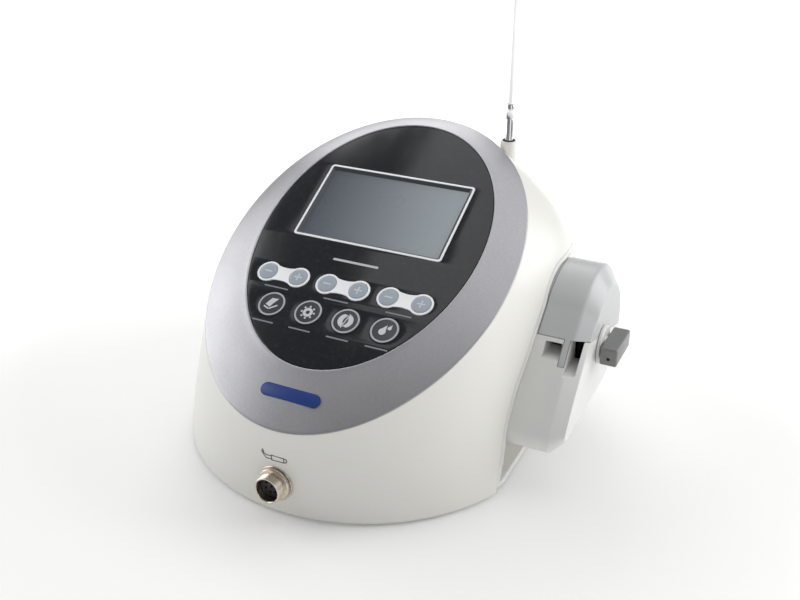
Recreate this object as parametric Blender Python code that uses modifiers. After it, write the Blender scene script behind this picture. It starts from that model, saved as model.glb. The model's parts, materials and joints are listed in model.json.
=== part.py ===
"""Surgical motor console with a side peristaltic pump and a drip pole.

Every length below is in millimetres and every angle in degrees. The helper
functions turn them into metres and radians where an object is made.
+Z is up, the operator stands on the -Y side and the pump is on the +X side.
The origin is on the underside of the base plate, below the display's centre.
"""
import math

import bmesh
import bpy
from mathutils import Matrix, Vector

MM = 0.001
GAP = 0.3

# Outer body
BASE_RADIUS = 112.0
BASE_CENTRE_Y = -19.0
REAR_DEPTH = 137.0
REAR_SQUARENESS = 4.5
WALL = 2.4
WALL_SEGMENTS = 48
WALL_ROWS = (1.0, 0.8, 0.6, 0.45, 0.33, 0.23, 0.15, 0.09, 0.04, 0.0)
FRONT_BULGE = 1.3
REAR_BULGE = 3.0
SIDE_BULGE = 5.8
SIDE_BULGE_ANGLE = 26.0
SIDE_BULGE_SPREAD = 20.0

# Sloping operating panel: its own frame has V up the slope and N out of it
PANEL_TILT = 28.4
PANEL_HEIGHT = 129.8
RIM_CENTRE_V = -33.3
RIM_HALF_X = 91.0
RIM_HALF_V = 118.4
RIM_EGG = 0.048
RIM_DROP = 6.4
FACE_CENTRE_V = -21.6
FACE_HALF_X = 69.4
FACE_HALF_V = 92.8
FACE_EGG = 0.033
FACE_THICKNESS = 2.4

# Display
DISPLAY_X = 94.0
DISPLAY_V = 55.0
DISPLAY_BORDER = 1.3
DISPLAY_CORNER = 2.0
MODULE_X = 104.0
MODULE_V = 66.0
MODULE_THICKNESS = 5.0

# Keys
ROCKER_V = -59.1
ROCKER_PITCH = 39.2
ROCKER_END_RADIUS = 7.0
ROCKER_HALF_SPAN = 10.0
ROCKER_WAIST = 4.6
STEP_KEY_RADIUS = 5.5
ROUND_KEY_V = -80.3
ROUND_KEY_PITCH = 24.0
ROUND_KEY_RADIUS = 8.4
KEY_TOP = 0.5
KEY_BOTTOM = -3.8
KEY_BOARD_TOP = -4.8
KEY_BOARD_THICKNESS = 1.6

# Base plate, feet and screws
PLATE_THICKNESS = 3.0
FOOT_DROP = 1.8
FOOT_RADIUS = 8.0
FOOT_RING = 88.0
FOOT_ANGLES = (-140.0, -40.0, 40.0, 140.0)
SCREW_PLACES = ((-84.5, -79.0), (84.5, -79.0), (81.0, 102.0), (-81.0, 102.0))
BOSS_RADIUS = 7.5
BOSS_HEIGHT = 16.0
PILOT_RADIUS = 1.7

# Pump bay in the right-hand side
LIP_X = 102.7
BAY_FLOOR_X = 89.6
BAY_WALL = 2.4
BAY_CLEARANCE = 2.6
BAY_FOOT_Y = -63.4
BAY_REAR_Y = 140.0
BAY_LIP_TRIM_Z = 15.0

# Pump outline in the Y-Z plane: a large head and a small lower front corner
HEAD_Y = 29.0
HEAD_Z = 64.2
HEAD_RADIUS = 41.0
TOE_Y = -42.0
TOE_Z = 31.5
TOE_RADIUS = 9.0
BROW_SAG = 3.0
PUMP_INNER_X = 92.4
COVER_INNER_X = 105.0
PUMP_SHOULDER_X = 126.0
PUMP_OUTER_X = 134.0
FACE_HEAD_Y = 25.0
FACE_HEAD_RADIUS = 31.5
FACE_TOE_Y = -43.0
FACE_TOE_Z = 36.0
FACE_TOE_RADIUS = 4.0
SPLIT_Z = 74.8
SPLIT_SLOPE = -0.28
COVER_WALL = 2.4
TAB_X = (120.7, 124.1)
TAB_BOTTOM_Z = 67.6
TAB_THICKNESS = 2.6
TAB_SLOT_REAR_Y = -11.5

# Pump drive
ROTOR_Y = 20.0
ROTOR_Z = 60.0
TRACK_RADIUS = 26.0
ROLLER_ORBIT = 15.0
ROLLER_RADIUS = 6.0
ROLLER_COUNT = 3
ROTOR_FLANGE_RADIUS = 19.5
TRACK_X = (106.6, 129.0)
ROTOR_X = (108.0, 126.0)
SHAFT_X = (81.0, 127.4)
ROLLER_LENGTH = 12.4
ROLLER_PIN_RADIUS = 1.5
INNER_NOTCH_X = (110.5, 120.3)
INNER_NOTCH_Z = (69.6, 77.1)
OUTER_NOTCH_X = (124.5, 131.0)
OUTER_NOTCH_Z = (63.6, 90.0)
SHAFT_RADIUS = 3.0
MOTOR_RADIUS = 18.0
MOTOR_X = (40.0, 88.0)
HINGE_Y = 73.0
HINGE_Z = SPLIT_Z + SPLIT_SLOPE * HINGE_Y
HINGE_RADIUS = 3.4
HINGE_PIN_RADIUS = 1.5
LATCH_Y = 15.0
LATCH_Z = 64.5
LATCH_DISC_RADIUS = 11.5
LATCH_BAR = (10.0, 29.0, 11.0)

# Handpiece motor socket in the front wall
SOCKET_Z = 19.0
SOCKET_TILT = 4.0
SOCKET_RADIUS = 8.0
SOCKET_FLANGE_RADIUS = 9.8
SOCKET_STICKOUT = 9.5

# Rear connections
REAR_PANEL_X = 130.0
REAR_PANEL_Z = (14.0, 66.0)
REAR_PANEL_Y = 108.8
REAR_PANEL_THICKNESS = 2.0
INLET_X = -48.0
INLET_Z = 34.0
SWITCH_X = -9.0
PEDAL_X = 26.0
EARTH_X = 54.0
CONNECTOR_Z = 38.0

# Drip pole
POLE_X = 50.0
POLE_Y = 73.5
POLE_SEAT_Z = 104.0
POLE_COLLAR_Z = 159.0
POLE_RADIUS = 2.6
POLE_TOP_Z = 182.0
ROD_RADIUS = 1.6
ROD_BOTTOM_Z = 112.0
ROD_TOP_Z = 318.0
HOOK_REACH = 26.0

PARTS = "surgical_motor_console"
CUTTERS = "cutters"

COLOURS = {
    "white_abs": ((0.86, 0.86, 0.83), 0.35, 0.0),
    "silver_paint": ((0.50, 0.51, 0.53), 0.38, 0.3),
    "black_face": ((0.012, 0.014, 0.018), 0.12, 0.0),
    "display_glass": ((0.22, 0.26, 0.30), 0.10, 0.0),
    "white_print": ((0.85, 0.86, 0.87), 0.4, 0.0),
    "key_blue_grey": ((0.42, 0.46, 0.52), 0.4, 0.0),
    "key_dark": ((0.08, 0.085, 0.095), 0.3, 0.0),
    "pump_grey": ((0.35, 0.36, 0.37), 0.4, 0.0),
    "nickel": ((0.60, 0.57, 0.53), 0.25, 1.0),
    "steel": ((0.62, 0.63, 0.65), 0.2, 1.0),
    "black_plastic": ((0.02, 0.02, 0.022), 0.45, 0.0),
    "rubber": ((0.03, 0.03, 0.03), 0.8, 0.0),
    "board_green": ((0.03, 0.16, 0.07), 0.5, 0.0),
    "sheet_metal": ((0.55, 0.56, 0.57), 0.4, 1.0),
    "roller_white": ((0.75, 0.75, 0.72), 0.5, 0.0),
}


# ---------------------------------------------------------------- helpers

def clear_scene():
    for item in list(bpy.data.objects):
        bpy.data.objects.remove(item, do_unlink=True)


def collection(name):
    found = bpy.data.collections.get(name)
    if found is None:
        found = bpy.data.collections.new(name)
        bpy.context.scene.collection.children.link(found)
    return found


def material(name):
    found = bpy.data.materials.get(name)
    if found is not None:
        return found
    colour, roughness, metallic = COLOURS[name]
    found = bpy.data.materials.new(name)
    found.use_nodes = True
    shader = found.node_tree.nodes["Principled BSDF"]
    shader.inputs["Base Color"].default_value = (*colour, 1.0)
    shader.inputs["Roughness"].default_value = roughness
    shader.inputs["Metallic"].default_value = metallic
    return found


def place(item, location=(0, 0, 0), rotation=None, parent=None):
    """Set an object's place in millimetres, below a parent if there is one."""
    item.parent = parent
    item.location = Vector(location) * MM
    if rotation is not None:
        item.rotation_euler = rotation.to_euler()


def add_object(name, mesh, finish):
    """Link a mesh as a part, or as a cutter if it has no finish."""
    item = bpy.data.objects.new(name, mesh)
    if finish is None:
        collection(CUTTERS).objects.link(item)
        item.hide_render = True
        item.display_type = "WIRE"
    else:
        collection(PARTS).objects.link(item)
        mesh.materials.append(material(finish))
    return item


def finish_mesh(name, work):
    bmesh.ops.recalc_face_normals(work, faces=work.faces[:])
    mesh = bpy.data.meshes.new(name)
    work.to_mesh(mesh)
    work.free()
    return mesh


def empty(name, location, rotation=None, parent=None):
    item = bpy.data.objects.new(name, None)
    collection(PARTS).objects.link(item)
    place(item, location, rotation, parent)
    return item


def towards(direction):
    """Rotation that turns local +Z to a direction."""
    return Vector((0, 0, 1)).rotation_difference(Vector(direction))


def box(name, size, centre, finish=None, parent=None):
    work = bmesh.new()
    bmesh.ops.create_cube(work, size=1.0)
    bmesh.ops.scale(work, vec=Vector(size) * MM, verts=work.verts[:])
    item = add_object(name, finish_mesh(name, work), finish)
    place(item, centre, None, parent)
    return item


def turned(name, profile, location, direction=(0, 0, 1), finish=None, steps=24, parent=None, ring=False):
    """Turn a profile of (radius, height) points that runs down its outer side."""
    mesh = bpy.data.meshes.new(name)
    points = [(radius * MM, 0.0, height * MM) for radius, height in profile]
    edges = [(i, i + 1) for i in range(len(points) - 1)]
    if ring:
        edges.append((len(points) - 1, 0))
    mesh.from_pydata(points, edges, [])
    item = add_object(name, mesh, finish)
    screw = item.modifiers.new("Turn", "SCREW")
    screw.steps = steps
    screw.render_steps = steps
    screw.use_merge_vertices = True
    screw.merge_threshold = 0.00001
    screw.use_smooth_shade = True
    place(item, location, towards(direction), parent)
    return item


def rod(name, radius, length, location, direction=(0, 0, 1), finish=None, steps=20, parent=None):
    """A plain cylinder that starts at its location and runs along its direction."""
    profile = [(0, length), (radius, length), (radius, 0), (0, 0)]
    return turned(name, profile, location, direction, finish, steps, parent)


def outline_mesh(name, outlines, thickness):
    """Closed mesh of a flat outline with holes, extruded about its own plane."""
    curve = bpy.data.curves.new(name, "CURVE")
    curve.dimensions = "2D"
    curve.fill_mode = "BOTH"
    curve.extrude = thickness * MM / 2
    for outline in outlines:
        spline = curve.splines.new("POLY")
        spline.points.add(len(outline) - 1)
        for point, (x, y) in zip(spline.points, outline):
            point.co = (x * MM, y * MM, 0.0, 1.0)
        spline.use_cyclic_u = True
    holder = bpy.data.objects.new(name, curve)
    bpy.context.scene.collection.objects.link(holder)
    seen = holder.evaluated_get(bpy.context.evaluated_depsgraph_get())
    work = bmesh.new()
    work.from_mesh(bpy.data.meshes.new_from_object(seen))
    bmesh.ops.remove_doubles(work, verts=work.verts[:], dist=0.00001)
    bpy.data.objects.remove(holder, do_unlink=True)
    return finish_mesh(name, work)


def plate(name, outlines, bottom, top, finish=None, parent=None):
    """A flat plate in its parent's X-Y plane, from bottom to top in Z."""
    mesh = outline_mesh(name, outlines, top - bottom)
    item = add_object(name, mesh, finish)
    place(item, (0, 0, (bottom + top) / 2), None, parent)
    return item


def side_prism(name, outlines, inner_x, outer_x, finish=None):
    """A prism along X whose outlines are given as (y, z) points."""
    mesh = outline_mesh(name, outlines, outer_x - inner_x)
    mesh.transform(Matrix(((0, 0, 1, 0), (1, 0, 0, 0), (0, 1, 0, 0), (0, 0, 0, 1))))
    item = add_object(name, mesh, finish)
    place(item, ((inner_x + outer_x) / 2, 0, 0))
    return item


def loft(name, sections, finish=None, parent=None, closed_ends=True, ring=False):
    """Surface through closed sections that have the same number of points."""
    work = bmesh.new()
    rows = [[work.verts.new(Vector(point) * MM) for point in section] for section in sections]
    count = len(rows[0])
    pairs = list(zip(rows, rows[1:]))
    if ring:
        pairs.append((rows[-1], rows[0]))
    for lower, upper in pairs:
        for i in range(count):
            j = (i + 1) % count
            work.faces.new((lower[i], lower[j], upper[j], upper[i]))
    if closed_ends and not ring:
        work.faces.new(list(reversed(rows[0])))
        work.faces.new(rows[-1])
    item = add_object(name, finish_mesh(name, work), finish)
    place(item, (0, 0, 0), None, parent)
    return item


def combine(target, cutter, operation="DIFFERENCE"):
    change = target.modifiers.new(cutter.name, "BOOLEAN")
    change.operation = operation
    change.solver = "EXACT"
    change.object = cutter


def join(target, piece):
    combine(target, piece, "UNION")


def arc(centre, radius, start, end, count):
    """Points on an arc, both ends included."""
    points = []
    for i in range(count + 1):
        angle = math.radians(start + (end - start) * i / count)
        points.append((centre[0] + radius * math.cos(angle), centre[1] + radius * math.sin(angle)))
    return points


def circle(centre, radius, count=24):
    return arc(centre, radius, 0, 360, count)[:-1]


def rounded_rectangle(width, height, radius, centre=(0, 0), corner_steps=3):
    points = []
    corners = ((1, 1, 0), (-1, 1, 90), (-1, -1, 180), (1, -1, 270))
    for sign_x, sign_y, start in corners:
        middle = (centre[0] + sign_x * (width / 2 - radius), centre[1] + sign_y * (height / 2 - radius))
        points += arc(middle, radius, start, start + 90, corner_steps)
    return points


def bowed(start, end, sag, count):
    """Inner points of a line that bows out to its left by sag."""
    run = Vector(end) - Vector(start)
    side = Vector((-run.y, run.x)).normalized()
    points = []
    for i in range(1, count):
        t = i / count
        point = Vector(start) + run * t + side * sag * 4 * t * (1 - t)
        points.append((point.x, point.y))
    return points


# ---------------------------------------------------------------- body shape

def wall_angles():
    return [2 * math.pi * i / WALL_SEGMENTS for i in range(WALL_SEGMENTS)]


def egg(half_x, half_v, centre_v, widening, angle):
    """Point of an egg-shaped outline in the panel's X-V plane."""
    lift = math.sin(angle)
    return (half_x * math.cos(angle) * (1 + widening * lift), centre_v + half_v * lift)


def rim_point(angle):
    return egg(RIM_HALF_X, RIM_HALF_V, RIM_CENTRE_V, RIM_EGG, angle)


def face_point(angle):
    return egg(FACE_HALF_X, FACE_HALF_V, FACE_CENTRE_V, FACE_EGG, angle)


def on_panel(x, v, n):
    """World position of a point given in the panel's frame."""
    tilt = math.radians(PANEL_TILT)
    return Vector((x, v * math.cos(tilt) - n * math.sin(tilt),
                   PANEL_HEIGHT + v * math.sin(tilt) + n * math.cos(tilt)))


def base_point(angle, inset=0.0):
    """Footprint: a circle in front, straight sides and rounded corners behind."""
    across = math.cos(angle)
    back = math.sin(angle)
    radius = BASE_RADIUS - inset
    if back < 0:
        reach = radius
    else:
        n = REAR_SQUARENESS
        depth = REAR_DEPTH - inset
        reach = (abs(across / radius) ** n + abs(back / depth) ** n) ** (-1 / n)
    return Vector((reach * across, BASE_CENTRE_Y + reach * back, 0))


def wall_bulge(angle):
    """How full the wall is: lean in front, fullest at the sides, less so behind."""
    lift = math.sin(angle)
    turn = min(1.0, max(0.0, (lift + 0.15) / 0.55))
    base = FRONT_BULGE + (REAR_BULGE - FRONT_BULGE) * turn
    offset = (math.degrees(math.asin(lift)) - SIDE_BULGE_ANGLE) / SIDE_BULGE_SPREAD
    return base + (SIDE_BULGE - base) * math.exp(-offset * offset)


def wall_point(angle, share, inset=0.0):
    """Outer wall from the rim (share 0) down to the footprint (share 1)."""
    x, v = rim_point(angle)
    rim = on_panel(x, v, -RIM_DROP)
    foot = base_point(angle)
    spread = 1 - (1 - share) ** wall_bulge(angle)
    point = rim.lerp(foot, spread)
    point.z = rim.z * (1 - share)
    if inset:
        centre = Vector((0, BASE_CENTRE_Y, point.z))
        point -= (point - centre).normalized() * inset
    return point


def wall_section(share, inset=0.0):
    return [wall_point(angle, share, inset) for angle in wall_angles()]


def ledge_section(share, drop):
    """Section between the rim and the black face, drop below the panel plane."""
    section = []
    for angle in wall_angles():
        outer = Vector(rim_point(angle))
        point = outer.lerp(Vector(face_point(angle)), share)
        section.append(on_panel(point.x, point.y, -drop))
    return section


def body_envelope(name, inset):
    """Closed solid of the outer shape, used to trim what lies flush in it."""
    sections = [wall_section(share, inset) for share in WALL_ROWS]
    return loft(name, sections)


def bay_outline(margin, bottom):
    """Opening for the pump: it follows the pump and runs out at the rear."""
    head = HEAD_RADIUS + BAY_CLEARANCE + margin
    toe = TOE_RADIUS + BAY_CLEARANCE + margin
    points = [(BAY_REAR_Y, bottom), (BAY_REAR_Y, HEAD_Z + head)]
    points += arc((HEAD_Y, HEAD_Z), head, 90, 138, 8)
    brow_end = arc((TOE_Y, TOE_Z), toe, 152, 180, 2)
    points += bowed(points[-1], brow_end[0], -BROW_SAG, 5)
    points += brow_end[:2]
    points += [(BAY_FOOT_Y - margin, PLATE_THICKNESS + 2.5), (BAY_FOOT_Y - margin, bottom)]
    return points


def make_shell():
    """Upper housing, open below, with a seat for the fascia ring."""
    sections = [wall_section(share) for share in WALL_ROWS]
    sections += [ledge_section(0.10, RIM_DROP + 2.6), ledge_section(0.30, RIM_DROP + 3.0)]
    shell = loft("upper_housing", sections, "white_abs", closed_ends=False)
    thick = shell.modifiers.new("Wall", "SOLIDIFY")
    thick.thickness = WALL * MM
    thick.offset = -1
    thick.use_even_offset = True
    inside = body_envelope("boss_trim", WALL / 2)
    for number, (x, y) in enumerate(SCREW_PLACES):
        boss = rod("boss_%d" % number, BOSS_RADIUS, BOSS_HEIGHT, (x, y, PLATE_THICKNESS + GAP), steps=16)
        combine(boss, inside, "INTERSECT")
        join(shell, boss)
        combine(shell, rod("pilot_%d" % number, PILOT_RADIUS, 14, (x, y, 1), steps=10))
    combine(shell, side_prism("bay_cut", [bay_outline(GAP, -5.0)], BAY_FLOOR_X - GAP, 130))
    combine(shell, socket_bore("socket_bore", SOCKET_RADIUS + GAP))
    rear_z = REAR_PANEL_Z
    combine(shell, box("rear_opening", (REAR_PANEL_X, 60, rear_z[1] - rear_z[0]),
                       (0, REAR_PANEL_Y + 8, sum(rear_z) / 2)))
    combine(shell, rod("pole_hole", 5.6, 40, (POLE_X, POLE_Y, POLE_COLLAR_Z - 34), steps=20))
    return shell


def ring_place(radius, angle):
    turn = math.radians(angle)
    return (radius * math.cos(turn), BASE_CENTRE_Y + radius * math.sin(turn))


def make_base_plate():
    """Bottom cover: inside the wall, but out to the lip below the pump bay."""
    outline = [base_point(angle, WALL + 3 * GAP)[:2] for angle in wall_angles()]
    outline = [(min(x, LIP_X), y) for x, y in outline]
    base = plate("base_plate", [outline], 0, PLATE_THICKNESS, "white_abs")
    for number, angle in enumerate(FOOT_ANGLES):
        x, y = ring_place(FOOT_RING, angle)
        combine(base, rod("foot_hole_%d" % number, 3.0, 10, (x, y, -3), steps=14))
    for number, (x, y) in enumerate(SCREW_PLACES):
        combine(base, rod("screw_hole_%d" % number, 1.9, 10, (x, y, -3), steps=10))
        combine(base, rod("screw_seat_%d" % number, 3.4, 5, (x, y, -3.2), steps=12))
    return base


def make_feet():
    profile = [(0, 4.4), (2.0, 4.4), (2.6, 3.6), (2.6, -GAP), (FOOT_RADIUS, -GAP),
               (FOOT_RADIUS, -FOOT_DROP + 0.5), (FOOT_RADIUS - 0.8, -FOOT_DROP), (0, -FOOT_DROP)]
    for number, angle in enumerate(FOOT_ANGLES):
        x, y = ring_place(FOOT_RING, angle)
        turned("foot_%d" % (number + 1), profile, (x, y, 0), finish="rubber", steps=16)


def make_base_screws():
    profile = [(0, 12), (1.3, 12), (1.3, 1.5), (2.9, 1.5), (2.9, 0.4), (2.3, 0.1), (0, 0.1)]
    for number, (x, y) in enumerate(SCREW_PLACES):
        turned("base_screw_%d" % (number + 1), profile, (x, y, 0), finish="steel", steps=10)


# ---------------------------------------------------------------- panel

def make_fascia_ring(panel):
    """Conical ring between the white wall and the black face."""
    steps = ((0.0, -RIM_DROP + 0.35), (0.5, -2.5), (1.0, 0.0), (1.0, -3.0),
             (0.5, -5.6), (0.09, -RIM_DROP - 1.5), (0.0, -RIM_DROP + 0.1))
    sections = []
    for share, height in steps:
        section = []
        for angle in wall_angles():
            point = Vector(rim_point(angle)).lerp(Vector(face_point(angle)), share)
            section.append((point.x, point.y, height))
        sections.append(section)
    loft("fascia_ring", sections, "silver_paint", panel, ring=True)


def rocker_outline(margin):
    radius = ROCKER_END_RADIUS + margin
    waist = ROCKER_WAIST + margin
    right = arc((ROCKER_HALF_SPAN, 0), radius, -130, 130, 12)
    join_x, join_y = right[-1]
    top = [(x, waist + (join_y - waist) * (x / join_x) ** 2) for x in (join_x / 2, 0, -join_x / 2)]
    left = [(-x, -y) for x, y in right]
    bottom = [(-x, -y) for x, y in top]
    return right + top + left + bottom


def moved(outline, x, y):
    return [(px + x, py + y) for px, py in outline]


def rocker_places():
    return [(name, (number - 1) * ROCKER_PITCH) for number, name in enumerate(("program", "speed", "torque"))]


def round_key_places():
    names = ("memory", "gear", "direction", "coolant")
    return [(name, (number - 1.5) * ROUND_KEY_PITCH) for number, name in enumerate(names)]


def make_face(panel):
    """Black face with the display opening and the key openings."""
    face = [[(x * 0.995, v * 0.995 - 0.1) for x, v in map(face_point, wall_angles())]]
    window = rounded_rectangle(DISPLAY_X + 2 * DISPLAY_BORDER + 2 * GAP,
                               DISPLAY_V + 2 * DISPLAY_BORDER + 2 * GAP, DISPLAY_CORNER)
    holes = [window]
    for _, x in rocker_places():
        holes.append(moved(rocker_outline(GAP), x, ROCKER_V))
    for _, x in round_key_places():
        holes.append(circle((x, ROUND_KEY_V), ROUND_KEY_RADIUS + GAP + 0.1, 28))
    plate("black_face", face + holes, -FACE_THICKNESS, 0, "black_face", panel)


def make_display(panel):
    outer = rounded_rectangle(DISPLAY_X + 2 * DISPLAY_BORDER, DISPLAY_V + 2 * DISPLAY_BORDER, DISPLAY_CORNER)
    inner = rounded_rectangle(DISPLAY_X, DISPLAY_V, DISPLAY_CORNER * 0.6)
    plate("display_border", [outer, inner], -2.0, 0.1, "white_print", panel)
    glass = rounded_rectangle(DISPLAY_X - 2 * GAP, DISPLAY_V - 2 * GAP, DISPLAY_CORNER * 0.6)
    plate("display_window", [glass], -2.0, -0.7, "display_glass", panel)
    top = -FACE_THICKNESS - GAP
    module = rounded_rectangle(MODULE_X, MODULE_V, 1.0, corner_steps=1)
    plate("display_module", [module], top - MODULE_THICKNESS, top, "sheet_metal", panel)


def key_profile(radius):
    return [(0, KEY_TOP), (radius - 0.5, KEY_TOP), (radius, KEY_TOP - 0.5),
            (radius, KEY_BOTTOM), (0, KEY_BOTTOM)]


def make_rockers(panel):
    for name, x in rocker_places():
        sides = (("down", -ROCKER_HALF_SPAN), ("up", ROCKER_HALF_SPAN))
        holes = [circle((x + side, ROCKER_V), STEP_KEY_RADIUS + GAP, 24) for _, side in sides]
        outline = moved(rocker_outline(0), x, ROCKER_V)
        plate("%s_bezel" % name, [outline] + holes, -2.0, 0.3, "white_print", panel)
        for label, side in sides:
            turned("%s_%s_key" % (name, label), key_profile(STEP_KEY_RADIUS), (x + side, ROCKER_V, 0),
                   finish="key_blue_grey", steps=20, parent=panel)


def make_round_keys(panel):
    for name, x in round_key_places():
        turned("%s_key" % name, key_profile(ROUND_KEY_RADIUS), (x, ROUND_KEY_V, 0),
               finish="key_dark", steps=24, parent=panel)


def make_key_board(panel):
    centre_v = (ROCKER_V + ROUND_KEY_V) / 2
    outline = rounded_rectangle(112, 48, 2.0, (0, centre_v), 1)
    plate("key_board", [outline], KEY_BOARD_TOP - KEY_BOARD_THICKNESS, KEY_BOARD_TOP, "board_green", panel)


# ---------------------------------------------------------------- front socket

def front_wall_y(height):
    return wall_point(math.radians(-90), 1 - height / wall_point(math.radians(-90), 0).z).y


def socket_frame():
    tilt = math.radians(SOCKET_TILT)
    outward = Vector((0, -math.cos(tilt), math.sin(tilt)))
    return Vector((0, front_wall_y(SOCKET_Z), SOCKET_Z)), outward


def socket_bore(name, radius):
    seat, outward = socket_frame()
    return rod(name, radius, 40, seat - outward * 20, outward, steps=28)


def make_socket():
    """Threaded round socket for the motor cord: barrel, contact insert and nut."""
    seat, outward = socket_frame()
    stick = SOCKET_STICKOUT
    barrel = [(6.6, stick), (SOCKET_RADIUS - 0.5, stick), (SOCKET_RADIUS - 0.1, stick - 0.6),
              (SOCKET_RADIUS - 0.1, 2.9), (SOCKET_FLANGE_RADIUS, 2.6), (SOCKET_FLANGE_RADIUS, 1.2),
              (SOCKET_RADIUS - 0.1, 1.2), (SOCKET_RADIUS - 0.1, -12), (6.6, -12)]
    turned("motor_socket_barrel", barrel, seat, outward, "nickel", 28, ring=True)
    insert = [(0, stick - 5.2), (6.3, stick - 5.2), (6.3, -11), (0, -11)]
    turned("motor_socket_insert", insert, seat, outward, "black_plastic", 24)
    nut = [(SOCKET_RADIUS + 0.3, -4.0), (11.0, -4.0), (11.0, -7.0), (SOCKET_RADIUS + 0.3, -7.0)]
    turned("motor_socket_nut", nut, seat, outward, "nickel", 12, ring=True)


# ---------------------------------------------------------------- pump

def pump_outline(head_y, head_radius, toe_y, toe_z, toe_radius):
    """Closed (y, z) outline: head arc, bowed brow, toe arc and flat underside."""
    points = arc((head_y, HEAD_Z), head_radius, -90, 138, 26)
    toe = arc((toe_y, toe_z), toe_radius, 152, 265, 6)
    points += bowed(points[-1], toe[0], -BROW_SAG, 6)
    return points + toe


def pump_sections(inset, inner_x, outer_x):
    """Sections of the pump's outer form, shrunk all round by inset."""
    main = pump_outline(HEAD_Y, HEAD_RADIUS - inset, TOE_Y, TOE_Z, TOE_RADIUS - inset)
    face = pump_outline(FACE_HEAD_Y, FACE_HEAD_RADIUS - inset, FACE_TOE_Y, FACE_TOE_Z,
                        max(0.8, FACE_TOE_RADIUS - inset))
    stations = ((inner_x, main), (PUMP_SHOULDER_X - inset * 0.5, main), (outer_x, face))
    return [[(x, y, z) for y, z in outline] for x, outline in stations]


def split_point(x, y, offset):
    """Point on the sloping split plane of the pump, raised along its normal."""
    turn = math.atan(SPLIT_SLOPE)
    return Vector((x, y - offset * math.sin(turn), SPLIT_Z + SPLIT_SLOPE * y + offset * math.cos(turn)))


def split_box(name, size, x, y, offset):
    """Box that lies along the split plane, its centre raised by an offset."""
    item = box(name, size, (0, 0, 0))
    place(item, split_point(x, y, offset), Matrix.Rotation(math.atan(SPLIT_SLOPE), 3, "X"))
    return item


def half_space(name, above, gap):
    """Large block above or below the split plane, around the pump."""
    depth = 110
    offset = gap + depth / 2 if above else -gap - depth / 2
    return split_box(name, (80, 260, depth), 118, 10, offset)


def cover_tab(name):
    """Tongue of the cover that runs down its front between the tube slots."""
    tab = loft(name, pump_sections(0, PUMP_INNER_X, PUMP_OUTER_X))
    start, end = TAB_X
    height = 16.0
    combine(tab, loft("tab_inside", pump_sections(TAB_THICKNESS, PUMP_INNER_X - 5, PUMP_OUTER_X + 5)))
    combine(tab, box("tab_limits", (end - start, 60, height),
                     ((start + end) / 2, -37, TAB_BOTTOM_Z + height / 2)), "INTERSECT")
    return tab


def tube_notch(name, inner_x, outer_x, bottom, top):
    """Straight slot from the front into the rotor's track."""
    centre = ((inner_x + outer_x) / 2, -26, (bottom + top) / 2)
    return box(name, (outer_x - inner_x, 60, top - bottom), centre)


def hinge_knuckle(name, start_x, end_x, extra=0.0):
    return rod(name, HINGE_RADIUS + extra, end_x - start_x, (start_x, HINGE_Y, HINGE_Z), (1, 0, 0), steps=16)


def pump_bore(name, radius, length, start_x, y, z):
    """Cylinder along X, for the bores of the pump's shaft and hinge pin."""
    return rod(name, radius, length, (start_x, y, z), (1, 0, 0), steps=14)


def hinge_web(name, start_x, end_x, depth):
    """Block between a knuckle and the pump's rear wall, below or above the split."""
    reach = 9.4
    offset = math.copysign(GAP, depth) + depth / 2
    return split_box(name, (end_x - start_x - 0.8, reach, abs(depth)),
                     (start_x + end_x) / 2, HINGE_Y - 0.6 - reach / 2, offset)


def make_pump_housing():
    """Lower, white half with the rotor's track and two tube notches."""
    housing = loft("pump_housing", pump_sections(0, PUMP_INNER_X, PUMP_OUTER_X), "white_abs")
    combine(housing, half_space("housing_top", True, -GAP / 2))
    start, end = TRACK_X
    combine(housing, rod("track", TRACK_RADIUS, end - start, (start, ROTOR_Y, ROTOR_Z), (1, 0, 0), steps=32))
    combine(housing, box("track_mouth", (end - start, 2 * TRACK_RADIUS - 0.4, 40),
                         ((start + end) / 2, ROTOR_Y, ROTOR_Z + 18.3)))
    combine(housing, pump_bore("housing_shaft_hole", SHAFT_RADIUS + 0.8, 30, 80, ROTOR_Y, ROTOR_Z))
    combine(housing, tube_notch("inner_notch", *INNER_NOTCH_X, *INNER_NOTCH_Z))
    combine(housing, tube_notch("outer_notch", *OUTER_NOTCH_X, *OUTER_NOTCH_Z))
    start, end = TAB_X
    slot_x = (start - GAP + end + GAP) / 2
    combine(housing, box("tab_slot", (end - start + 2 * GAP, 60, 40),
                         (slot_x, TAB_SLOT_REAR_Y - 30, TAB_BOTTOM_Z - GAP + 20)))
    for number, (start, end) in enumerate(((106.0, 110.4), (119.6, 124.0))):
        join(housing, hinge_knuckle("housing_knuckle_%d" % number, start, end))
        join(housing, hinge_web("housing_web_%d" % number, start, end, -3.2))
    combine(housing, hinge_knuckle("housing_knuckle_gap", 110.0, 120.0, 0.5))
    combine(housing, pump_bore("housing_pin_bore", HINGE_PIN_RADIUS + GAP, 60, 90, HINGE_Y, HINGE_Z))
    return housing


def make_pump_bracket():
    """Grey block inside the bay that closes the gap behind the cover."""
    bracket = loft("pump_bracket", pump_sections(0.4, PUMP_INNER_X, PUMP_OUTER_X), "pump_grey")
    combine(bracket, half_space("bracket_bottom", False, -GAP / 2))
    combine(bracket, box("bracket_front", (60, 200, 120), (COVER_INNER_X - GAP + 30, 10, 90)))
    return bracket


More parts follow.
